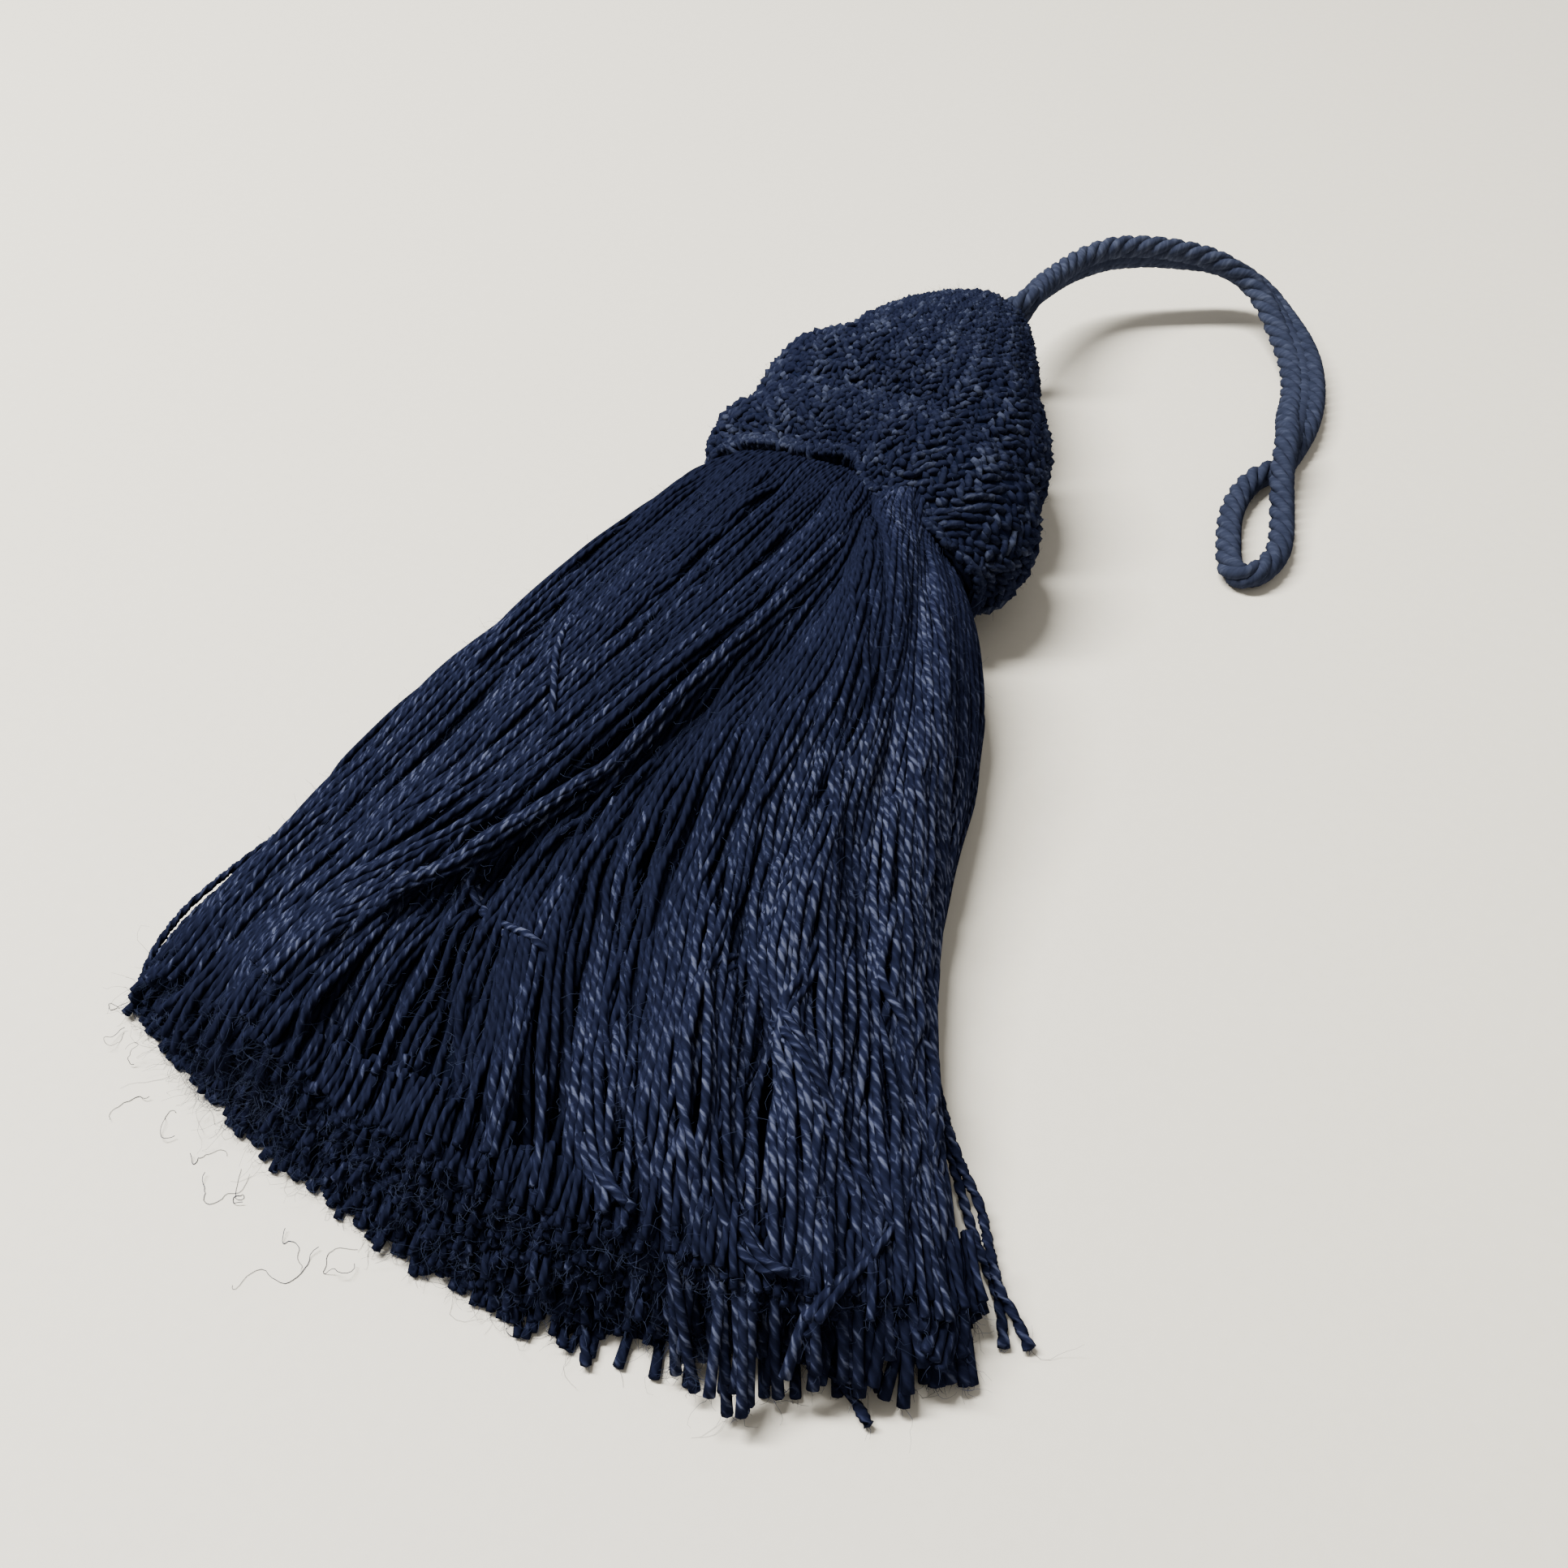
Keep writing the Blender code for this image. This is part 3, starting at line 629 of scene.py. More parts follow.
def make_loop(material):
    route = keep_above(even(catmull(loop_route(), 12), 0.4), CORD_HEIGHT)
    into = np.linspace(3.2, 0.4, 8)[:, None]
    head, tail = (route[end] + unit(route[end] - route[inner]) * into * 0.45
                  + (LOOP_HEART - route[end]) * into * 0.18 for end, inner in ((0, 6), (-1, -7)))
    path = even(np.vstack((head, route, tail[::-1])), 0.5)
    run = lengths_along(path)
    _, side, over = axes_along(path, UP)
    tone = 0.54 - 0.3 * smooth_step(38.0, 58.0, np.minimum(run, run[-1] - run))
    tone = tone - 0.25 * smooth_step(16.0, 5.0, run) + 0.06 * np.sin(run / 2.3) * np.sin(run / 5.1)
    yarns = Yarns()
    for ply in range(PLIES):
        turn = (TURN * run / PLY_PITCH + ply * TURN / PLIES)[:, None]
        line = path + PLY_OUT * (np.cos(turn) * side + np.sin(turn) * over)
        yarns.add(line, PLY_R, TUBE, 1.3, tone, up=unit(line - path), taper=0.2)
    between = even(catmull(DOUBLED_ROWS[:-1, :3], 12), 0.4)
    between[:, 2] -= 0.15
    yarns.add(between, 1.25, THICK_TUBE, 1.3, 0.22, taper=0.8)
    piece = yarns.build("loop_plied_cord", material)
    dress(piece, "loop_cord")


# ---- the skirt's surface -----------------------------------------------------
RAY_LENGTH = 0.06      # from well outside the solids, m


def solid_tree(node):
    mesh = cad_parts[node].data
    return BVHTree.FromPolygons([v.co.copy() for v in mesh.vertices],
                                [tuple(p.vertices) for p in mesh.polygons])


def edges_at(run):
    """The skirt's middle and half width."""
    left = np.interp(run, EDGE_RUNS, LEFT_EDGE)
    right = np.interp(run, EDGE_RUNS, RIGHT_EDGE)
    return (left + right) / 2, (right - left) / 2


def cut_edge(x):
    left = np.clip((CUT_PEAK_X - x) / (CUT_PEAK_X - CUT_LEFT_X), 0, 1) ** 1.8
    right = np.clip((x - CUT_PEAK_X) / (CUT_RIGHT_X - CUT_PEAK_X), 0, 1) ** 2.5
    return -CUT_BULGE * (1.0 - np.where(x < CUT_PEAK_X, left, right))


def along_to_y(across, run, lift):
    """y of a place on the skirt; lift is 0 on the table and 1 on top."""
    end_x = CUT_LEFT_X + (across + 1.0) / 2.0 * (CUT_RIGHT_X - CUT_LEFT_X)
    back = SET_BACK + (SET_BACK_RIGHT - SET_BACK) * smooth_step(0.3, 0.6, across)
    end = cut_edge(end_x) + back * lift
    return NECK_ALONG - run * (NECK_ALONG - end) - MIDDLE


STATIONS = np.linspace(0.02, 1.0, 64)
STATION_STEP = STATIONS[1] - STATIONS[0]
ACROSS = np.linspace(-1.0, 1.0, 181)
MIDDLES, HALVES = edges_at(STATIONS)
BASES = np.interp(STATIONS, EDGE_RUNS, EDGE_BASES)
RADII = STRAND_R * (0.8 + 0.2 * smooth_step(0.05, 0.65, STATIONS)
                    + 0.08 * smooth_step(0.85, 1.0, STATIONS))
MOUTH = bump(STATIONS, 0.05, 0.07)       # where the cap's mouth lets the strands out
MOUTH_SWELL = 1.4


def column_at(across):
    return np.clip((across + 1.0) / 2.0 * (len(ACROSS) - 1), 0, len(ACROSS) - 1.001)


def row_at(run):
    return np.clip((run - STATIONS[0]) / STATION_STEP, 0, len(STATIONS) - 1.001)


def read_grid(grid, across):
    """grid (stations, ACROSS) read at across (strands, stations)."""
    place = column_at(across)
    low = place.astype(int)
    share = place - low
    j = np.arange(len(STATIONS))[None, :]
    return grid[j, low] * (1 - share) + grid[j, low + 1] * share


def read_line(grid, run, across):
    """grid read along one line of runs and places across."""
    return bilinear(grid, row_at(run), column_at(across))


def surface_heights():
    """The solid's top height at each station and place across, mm."""
    tree = solid_tree("skirt")
    heights = np.zeros((len(STATIONS), len(ACROSS)))
    for j, run in enumerate(STATIONS):
        for i, across in enumerate(ACROSS * 0.99):
            x = MIDDLES[j] + across * HALVES[j]
            y = along_to_y(across, min(run, 0.985), 1.0)
            hit = tree.ray_cast(Vector((x * MM, y * MM, RAY_LENGTH)), Vector((0, 0, -1)))[0]
            heights[j, i] = hit.z / MM if hit else np.nan
        good = ~np.isnan(heights[j])
        heights[j] = np.interp(ACROSS, ACROSS[good], heights[j][good])
    return heights


def zone_fields():
    """The lift and the painted light and shade that ZONES give, at each station and place."""
    lift, tone = np.zeros((2, len(STATIONS), len(ACROSS)))
    for width, rise, shade, *route in ZONES:
        runs, places = np.reshape(route, (-1, 2)).T / 100
        centre = np.interp(STATIONS, runs, places)
        ends = smooth_step(runs[0] - 0.05, runs[0] + 0.02, STATIONS)
        ends = ends * smooth_step(runs[-1] + 0.05, runs[-1] - 0.02, STATIONS)
        away = (ACROSS[None, :] - centre[:, None]) * HALVES[:, None] / (0.6 * width)
        share = ends[:, None] * np.exp(-away ** 2)
        lift += rise * share
        tone += shade * share
    return lift, tone


class SkirtShape:
    """What the strands lie on, as grids by station and place across."""

    def __init__(self):
        self.solid = surface_heights()
        # self.tone holds the zones' painted light and shade.
        lift, self.tone = zone_fields()
        t, run = ACROSS[None, :], STATIONS[:, None]
        # The puff at the cap's mouth, the pinch beside it and the right side.
        puff = 1.7 * bump(run, 0.09, 0.055) * smooth_step(0.98, 0.7, np.abs(t))
        pinch = 0.75 * bump(run, 0.06, 0.05) * bump(t, 0.1, 0.22)
        right = 2.2 * bump(run, 0.05, 0.07) * smooth_step(0.45, 0.9, t)
        self.top = self.solid + puff - pinch + right + lift
        # The fan comes out from under the panel's ridge.
        past = t - np.interp(STATIONS, GUIDE_RUNS, PANEL_GUIDES[-1])[:, None]
        under = 2.0 * smooth_step(0.1, -0.08, past)
        hollow = 0.7 * bump(past, 0.07, 0.1)
        hollow = hollow * smooth_step(0.3, 0.55, run) * smooth_step(0.95, 0.75, run)
        self.lower = self.top - under * smooth_step(0.12, 0.32, run) - hollow
        # How the surface leans across: it turns each strand so its painted highlight sits on the
        # side that faces out of the surface.
        rise = np.gradient(self.solid, axis=1) / (np.gradient(ACROSS)[None, :] * HALVES[:, None])
        self.lean = -np.clip(rise, -3.0, 3.0)


def guide_places(guides, places, share):
    """Place across at each station, for strands at share between guides."""
    lines = np.stack([np.interp(STATIONS, GUIDE_RUNS, row) for row in guides])
    kernel = np.array((1, 4, 6, 4, 1)) / 16.0
    for _ in range(5):
        padded = np.pad(lines, ((0, 0), (2, 2)), mode="edge")
        lines = sum(kernel[k] * padded[:, k:k + len(STATIONS)] for k in range(5))
    return read_at(share, places, lines)


def wander(count, size, waves=((30.0, 1.0), (14.0, 0.5), (7.0, 0.22))):
    """Slow drift of each strand, mm, at each station."""
    run = STATIONS * SKIRT_LENGTH
    total = np.zeros((count, len(STATIONS)))
    for wave, weight in waves:
        phase = rng.uniform(0, TURN, (count, 1))
        length = wave * rng.uniform(0.75, 1.35, (count, 1))
        total += weight * rng.normal(0, 1, (count, 1)) * np.sin(TURN * run / length + phase)
    return total * size


# ---- the skirt's strands -----------------------------------------------------
CLUMP = 0.22           # how far each lock gathers its strands
SPACING = 1.84         # between packed strands, in radii
PUSH, SMOOTHING, HOMING = 0.42, 0.22, 0.035
STRAYS, STRAY_POINTS = 64, 30


class Family:
    """Strands laid out between guide lines and gathered in locks."""

    def __init__(self, guides, places, borders, count, top, depth, tone, sizes):
        share = (np.arange(count) + 0.5) / count + rng.normal(0, 0.3 / count, count)
        share = np.clip(share, 0.002, 0.998)
        locks = len(borders) - 1
        lock = np.clip(np.searchsorted(borders, share, side="right") - 1, 0, locks - 1)
        centre = (borders[lock] + borders[lock + 1]) / 2
        within = (share - centre) / ((borders[lock + 1] - borders[lock]) / 2)
        across = guide_places(guides, places, share)
        core = guide_places(guides, places, centre)
        across = core + (across - core) * (1.0 - CLUMP * smooth_step(0.1, 0.5, STATIONS))
        sway = wander(locks, 0.3, ((34.0, 1.0), (18.0, 0.4)))
        rise = wander(locks, 0.3, ((40.0, 1.0), (20.0, 0.5))) + rng.normal(0, 0.25, (locks, 1))
        spread = smooth_step(0.06, 0.3, STATIONS)
        self.x = MIDDLES + across * HALVES + (wander(count, 0.2) + sway[lock]) * spread
        self.x += MOUTH_SWELL * smooth_step(0.3, 1.0, across) * MOUTH
        dome = 0.75 * (1.0 - within[:, None] ** 2) - 0.48
        self.offset = (rise[lock] + dome) * smooth_step(0.04, 0.2, STATIONS) - RADII[None, :]
        self.top = top
        self.z = read_grid(top, (self.x - MIDDLES) / HALVES) + self.offset - depth
        self.z -= rng.uniform(0, 0.25, (count, 1))
        shade = rng.normal(0, 0.08, locks)
        self.tone = tone + shade[lock] + rng.normal(0, 0.09, count)
        self.end = np.interp(across[:, -1], END_PLACES, END_RUNS)
        steady = 1.0 - 0.45 * smooth_step(0.2, 0.5, across[:, -1])
        self.end += (rng.normal(0, 0.021, locks)[lock] + rng.normal(0, 0.007, count)) * steady
        self.size = np.interp(share, (0.0, 0.4, 1.0), sizes)
        self.float = np.full(count, 0.035 if depth < 0.2 else 0.015)


def pack_strands(families, rounds):
    """Pushes strands apart in every section, under the skirt's surface."""
    x, z, offset = (np.vstack([getattr(family, name) for family in families])
                    for name in ("x", "z", "offset"))
    lift = np.concatenate([family.float for family in families])[:, None]
    starts = np.cumsum([0] + [len(family.x) for family in families])
    spacing = SPACING * RADII
    home = x.copy()
    room = MOUTH_SWELL * MOUTH
    for _ in range(rounds):
        for j in range(len(STATIONS)):
            gap_x = x[:, None, j] - x[None, :, j]
            a, b = np.nonzero(np.triu(np.abs(gap_x) < spacing[j], 1))
            gaps = x[a, j] - x[b, j], z[a, j] - z[b, j]
            gap = np.hypot(*gaps)
            close = gap < spacing[j]
            a, b = a[close], b[close]
            gap = np.maximum(gap[close], 1e-3)
            push = PUSH * (spacing[j] - gap) / gap
            for field, part in zip((x, z), gaps):
                np.add.at(field[:, j], a, part[close] * push)
                np.add.at(field[:, j], b, -part[close] * push)
        for field in (x, z):
            field[:, 1:-1] += SMOOTHING * (field[:, :-2] + field[:, 2:] - 2 * field[:, 1:-1])
        x += HOMING * (home - x)
        z += lift
        x = np.clip(x, MIDDLES - HALVES + RADII, MIDDLES + HALVES + room - RADII)
        across = (x - MIDDLES) / HALVES
        ceiling = np.vstack([read_grid(family.top, across[i:j])
                             for family, i, j in zip(families, starts, starts[1:])]) + offset
        z = np.maximum(np.minimum(z, ceiling), BASES + RADII)
        # Rounded, or the packing would grow a sum's last digits into a new layout.
        x, z = np.round(x, 6), np.round(z, 6)
    return x, z, ceiling - z


def place_line(across, z, lift=1.0, run=STATIONS):
    """x, y, z of places on the skirt."""
    middle, half = edges_at(run)
    return np.column_stack((middle + across * half, along_to_y(across, run, lift), z))


def strand_rows(points, radius, tone, shown=1.0, lean=0.0, soft=0.2):
    """A strand's points, each with what add_strand reads beside it."""
    columns = (radius, tone, shown, lean, soft)
    return np.column_stack([points] + [per_point(column, len(points)) for column in columns])


def cut_at(points, end):
    """A smooth strand through its station points, ended at the run end."""
    per = 4
    path = catmull(points, per)
    keep = (end - STATIONS[0]) / (STATION_STEP / per)
    whole = int(min(max(keep, 8), len(path) - 1))
    path = path[:whole + 1]
    extra = int(round(keep - whole))
    if extra > 0:
        heading = path[-1] - path[-2]
        heading[3:] = 0.0
        path = np.vstack((path, path[-1] + heading * np.arange(1, extra + 1)[:, None]))
    return path


def end_share(path, length):
    """0 along a strand, and rising to 1 over its last length."""
    run = lengths_along(path[:, :3])
    return np.clip((run - (run[-1] - length)) / length, 0.0, 1.0)


def bend_tip(path, sideways, drop, length):
    """Bends the last length of a strand sideways and down."""
    share = end_share(path, length) ** 2
    side = unit(np.cross(unit(path[-1, :3] - path[-6, :3]), UP))
    path[:, :3] += side * sideways * share[:, None]
    path[:, 2] = np.maximum(path[:, 2] - drop * share, path[:, 3])
    return path


def flare(path, reach=1.5, much=0.14):
    """Opens a strand's end."""
    path[:, 3] *= 1.0 + much * end_share(path, reach) ** 1.5
    return path


class Tips:
    """Where strands end and which way they point."""

    def __init__(self):
        self.points, self.ways = [], []

    def add(self, path):
        self.points.append(path[-1, :3])
        self.ways.append(unit(path[-1, :3] - path[-3, :3]))


def add_strand(yarns, path, tips, fine=0.85, coarse=2.4, free=False):
    """One strand from the rows that strand_rows gives."""
    path = flare(thin_out(path, fine, coarse, np.clip(path[:, 5], 0.0, 1.0)))
    up = unit(np.column_stack((path[:, 6], np.zeros(len(path)), np.ones(len(path)))))
    yarns.add(path[:, :3], path[:, 3], TWO_PLY if free else TUBE,
              HALF_PITCH * rng.uniform(0.85, 1.2), np.clip(path[:, 4], 0.0, 1.0), up=up,
              soft=np.clip(path[:, 7], 0.0, 0.9))
    tips.add(path)


def packed_tone_with_painted_shade(shape, tone, across, z, depth):
    """A packed strand's tone, with painted shade: darker deep down in the heap,
    at the neck under the cap's rim and where the strands turn down at the cut,
    and with the zones' painted light and shade.
    """
    below = read_grid(shape.solid, across[None])[0] - z - RADII
    shade = tone + read_grid(shape.tone, across[None])[0]
    # Painted shade: darker the deeper a strand lies among the others and below the solid's top.
    shade = shade - 0.24 * np.clip(depth / 0.7, 0.0, 1.0)
    shade = shade - 0.16 * np.clip((below - 0.3) / 1.2, 0.0, 1.0)
    # Painted shade at the neck, under the cap's rim.
    shade = shade - 0.4 * smooth_step(0.45, 0.18, STATIONS) * smooth_step(0.6, 0.45, across)
    shade = shade + wander(1, 0.05, ((40.0, 1.0), (15.0, 0.8)))[0]
    # Painted shade where the left and middle strands turn down over the cut, away from the light.
    return shade - 0.4 * smooth_step(0.9, 1.0, STATIONS) * smooth_step(0.5, 0.2, across[-1])


def neck_softness(run):
    return 0.1 + 0.62 * smooth_step(0.5, 0.15, run)


def softness(across):
    """How little the plies' painted highlights and the shade between them show: woolly at the neck
    and on the left.
    """
    left = smooth_step(-0.05, -0.6, across) * smooth_step(1.0, 0.8, STATIONS)
    right = 0.12 * smooth_step(0.2, 0.6, across)
    return neck_softness(STATIONS) + 0.15 * left + right + rng.uniform(-0.08, 0.08)


def add_packed(meshes, tips, woolly, shape, families):
    """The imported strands, with their ends at the cut."""
    x, z, depth = pack_strands(families, amount(45))
    loose = smooth_step(0.35, 0.85, STATIONS) * smooth_step(-0.75, 0.1, (x - MIDDLES) / HALVES)
    stray = wander(len(x), 1.0, ((26.0, 0.5), (13.0, 0.32), (7.0, 0.12)))
    x = np.clip(x + 0.55 * stray * loose, MIDDLES - HALVES + RADII, MIDDLES + HALVES - RADII)
    z = z + 0.28 * wander(len(x), 1.0, ((18.0, 0.6), (9.0, 0.4))) * (0.25 + loose)
    z = np.maximum(z, BASES + RADII)
    tones, ends, sizes = (np.concatenate([getattr(family, name) for family in families])
                          for name in ("tone", "end", "size"))
    for i, across in enumerate((x - MIDDLES) / HALVES):
        seen = smooth_step(0.75, 0.45, depth[i])
        seen = np.maximum(seen, smooth_step(0.93, 0.96, np.abs(across)))
        tone = packed_tone_with_painted_shade(shape, tones[i], across, z[i], depth[i])
        soft = softness(across)
        right = smooth_step(0.2, 0.5, across[-1])
        lift = 1.0 - 0.5 * np.clip(depth[i, -3:].mean() / 3.0, 0, 1) - 0.5 * right
        hang = sum(much * bump(across[-1], at, width) for at, width, much in HANGING)
        hang = hang * smooth_step(0.6, 0.2, depth[i, -1])
        rows = strand_rows(place_line(across, z[i], lift), RADII * sizes[i], tone, seen,
                           read_grid(shape.lean, across[None])[0], soft)
        path = cut_at(rows, ends[i] + 0.008 + 0.034 * hang - 0.005 * right)
        droop = rng.uniform(0.1, 0.45) + rng.uniform(0.4, 0.65) * right + 0.4 * hang
        drop = max(z[i, -1] - 1.0, 0.0) * np.clip(droop, 0, 1)
        path = bend_tip(path, rng.normal(0.0, 0.8), drop, rng.uniform(4.5, 9.0) + 3.0 * right)
        if hang > 0.5:
            woolly.add(path)
        add_strand(meshes[i % 4], path, tips)


def make_skirt(material, shaded_core_material):
    shape = SkirtShape()
    panel_sizes, fan_sizes = (0.95, 0.95, 1.0), (0.92, 1.0, 1.2)
    # The deeper families are given a darker tone: painted shade down in the heap.
    families = (Family(*PANEL, 74, shape.top, 0.0, 0.46, panel_sizes),
                Family(*PANEL, 34, shape.top, 0.6, 0.4, panel_sizes),
                Family(*FAN, 122, shape.lower, 0.0, 0.46, fan_sizes),
                Family(*FAN, 60, shape.lower, 0.6, 0.4, fan_sizes))
    meshes = [Yarns() for _ in range(4)]
    tips, woolly = Tips(), Tips()
    add_packed(meshes, tips, woolly, shape, families)
    add_top_locks(meshes, tips, shape)
    add_strays(meshes, tips, shape)
    add_side_strands(meshes[3], tips, shape.solid)
    for radius, *route in LOOSE:
        path = catmull(np.reshape(route, (-1, 3)), 8)
        add_strand(meshes[2], strand_rows(path, radius, 0.5), tips, 0.42, 1.0, True)
    for yarns, letter in zip(meshes, "abcd"):
        dress(yarns.build("skirt_strands_" + letter, material), "skirt")
    dress(make_core(shape.solid, shaded_core_material), "skirt")
    return tips, woolly, shape.solid


def lay_strand(yarns, tips, shape, run, across, height, tone, size=1.0):
    """One strand over the others, by run, place across and height."""
    points = place_line(across, np.maximum(height, 0.4), 1.0, run)
    # Darker towards the neck: painted shade under the cap's rim.
    rows = strand_rows(points, STRAND_R * size, tone - 0.16 * smooth_step(0.55, 0.3, run), 1.0,
                       read_line(shape.lean, run, across), neck_softness(run))
    add_strand(yarns, rows, tips, 0.7, 1.0)


def ease_in_out(place, lead, run, cut):
    """Rises over the lead, and falls again if the strand ends before the cut."""
    ease = smooth_step(0.0, lead, place)
    return ease if run[-1] >= cut else ease * smooth_step(1.0, 0.85, place)


def add_top_locks(meshes, tips, shape):
    """The locks and single strands that lie across the others."""
    for number, (count, width, lift, tone, *route) in enumerate(TOP_LOCKS):
        run, across = catmull(np.reshape(route, (-1, 2)) / 100, 10).T
        place = np.linspace(0, 1, len(run))
        for order in np.linspace(-1, 1, count) if count > 1 else (0.0,):
            drift = rng.normal(0, 0.2) * np.sin(np.linspace(0, rng.uniform(3, 7), len(run))
                                                 + rng.uniform(0, 6))
            narrow = 1.0 - 0.45 * np.sin(np.linspace(0, math.pi, len(run)))
            t = across + (order * width / 2 * narrow + drift) / edges_at(run)[1]
            stand = 0.75 * lift + 0.3 * (1.0 - order ** 2)
            stand = stand * ease_in_out(place, 0.25, run, 0.95)
            height = read_line(shape.top, run, t) - 0.45 + stand + rng.normal(0, 0.12)
            lay_strand(meshes[number % 4], tips, shape, run, t, height,
                       tone - 0.08 + rng.normal(0, 0.09))


def add_strays(meshes, tips, shape):
    """Single strands that have slid across their neighbours."""
    place = np.linspace(0.0, 1.0, STRAY_POINTS)
    for number in range(amount(STRAYS)):
        family = FAN if number % 5 else PANEL
        line = guide_places(*family[:2], np.array((rng.uniform(0.1, 0.95),)))[0]
        start = rng.uniform(0.3, 0.84)
        run = np.linspace(start, min(start + rng.uniform(0.12, 0.34), 0.99), STRAY_POINTS)
        slide = rng.normal(0, 1.5) * place + rng.normal(0, 0.35) * np.sin(place * rng.uniform(4, 9))
        across = np.interp(run, STATIONS, line) + slide / edges_at(run)[1]
        inside = np.clip(across, -0.97, 0.97)
        height = (read_line(shape.top, run, inside) - 1.0
                  + rng.uniform(0.75, 1.05) * ease_in_out(place, 0.2, run, 0.97))
        tone = rng.normal(0.46, 0.09)
        # Fan strays take the zones' painted light and shade.
        if family is FAN:
            tone = tone + read_line(shape.tone, run, across) * 0.8
        lay_strand(meshes[number % 3], tips, shape, run, inside, height, tone,
                   rng.uniform(0.85, 1.05))


def add_side_strands(yarns, tips, heights):
    """Strands down the steep sides, and across the underside."""
    peak, highest = np.argmax(heights, axis=1), np.max(heights, axis=1)
    for side in (-1, 1):
        for level in np.linspace(0.04, 0.62, 9):
            z = BASES + RADII + level * (highest - BASES - 2.5)
            z = np.minimum(z, BASES + RADII + level * 9.0)
            across = np.empty(len(STATIONS))
            for j, middle in enumerate(peak):
                slope = slice(0, middle + 1) if side < 0 else slice(None, middle - 1, -1)
                if side > 0 and middle == 0:
                    slope = slice(None, None, -1)
                across[j] = np.interp(z[j] + 0.3, heights[j, slope], ACROSS[slope])
            across -= side * (RADII + 0.05) / HALVES
            across += wander(1, 0.1)[0] / HALVES
            rows = strand_rows(place_line(across, z, level), RADII, 0.42 + rng.normal(0, 0.06),
                               0.75, side * 1.2)
            add_strand(yarns, cut_at(rows, 1.0 + rng.normal(0, 0.006)), tips)
    for across in np.linspace(-0.92, 0.92, 30):
        t = across + wander(1, 0.3)[0] / HALVES
        # A darker tone for the underside strands: painted shade under the skirt.
        rows = strand_rows(place_line(t, BASES + RADII * 1.05, 0.0), RADII, 0.3, 0.0)
        add_strand(yarns, cut_at(rows, 1.0), tips)


def make_core(heights, material):
    """The heart of the skirt, a little inside its strands, coloured darker
    than its yarn as painted shade deep among the strands.
    """
    places = np.arange(3, len(ACROSS) - 3, 6)
    rings = []
    for j in range(0, len(STATIONS) - 3, 2):
        over = np.maximum(heights[j, places] - 3.0, BASES[j] + 0.5)
        under = np.full(len(places), BASES[j] + 0.45)
        rings.append(np.vstack((
            place_line(ACROSS[places] * 0.965, over, 1.0, STATIONS[j]),
            place_line(ACROSS[places[::-1]] * 0.93, under, 1.0, STATIONS[j]))))
    return core_piece("skirt_core", rings, material, closed=True)


STUB_STEP, STUB_FLOOR = 0.56, 0.36
LONG_STUBS = 0.03      # the share that stands out


def make_stubs(heights, material, tips):
    """The ends of the strands inside the heap, seen at the cut edge."""
    yarns = Yarns()
    teeth = wander(1, 0.35, ((6.0, 1.0), (3.0, 0.7)))[0]
    middle, half = MIDDLES[-1], HALVES[-1]
    for across in np.arange(-0.985, 0.985, amount(STUB_STEP) / half):
        top = np.interp(across, ACROSS, heights[-3])
        tooth = np.interp(across, np.linspace(-1, 1, len(teeth)), teeth)
        shorter = 2.9 * smooth_step(0.2, 0.5, across)
        for level in np.arange(0.34, max(top - 0.5, 0.5), STUB_STEP):
            t = across + rng.normal(0, 0.16) / half
            height = level + rng.normal(0, 0.12)
            lift = np.clip(height / max(top, 1.0), 0.0, 1.0)
            longer = rng.uniform(0.6, 1.6) if rng.random() < LONG_STUBS else 0.0
            end = along_to_y(t, 1.0, lift) + rng.normal(0.0, 0.35) + 0.6 * tooth - longer + shorter
            length = rng.uniform(3.5, 5.0)
            inner_middle, inner_half = edges_at(1.0 - length / SKIRT_LENGTH)
            start = np.array((inner_middle + t * inner_half, end + length, max(height + 0.25, 0.4)))
            stop = np.array((middle + t * half + rng.normal(0, 0.35), end,
                             max(height - rng.uniform(0.0, 0.5), STUB_FLOOR)))
            s = np.linspace(0.0, 1.0, 12)[:, None]
            path = start + (stop - start) * s + rng.normal(0.0, 0.22, 3) * np.sin(math.pi * s)
            path = keep_above(path, STUB_FLOOR)
            # Nearly black, painted shade on the cut face, with a few lighter ends.
            tone = np.clip(rng.normal(0.04, 0.05), 0.0, 0.8) + at_times(0.08, 0.3)
            path = flare(even(strand_rows(path, STRAND_R * 0.94, tone), 1.0), 1.2, 0.18)
            yarns.add(path[:, :3], path[:, 3], THIN_TUBE, HALF_PITCH, path[:, 4])
            tips.add(path)
    dress(yarns.build("skirt_cut_ends", material), "skirt")


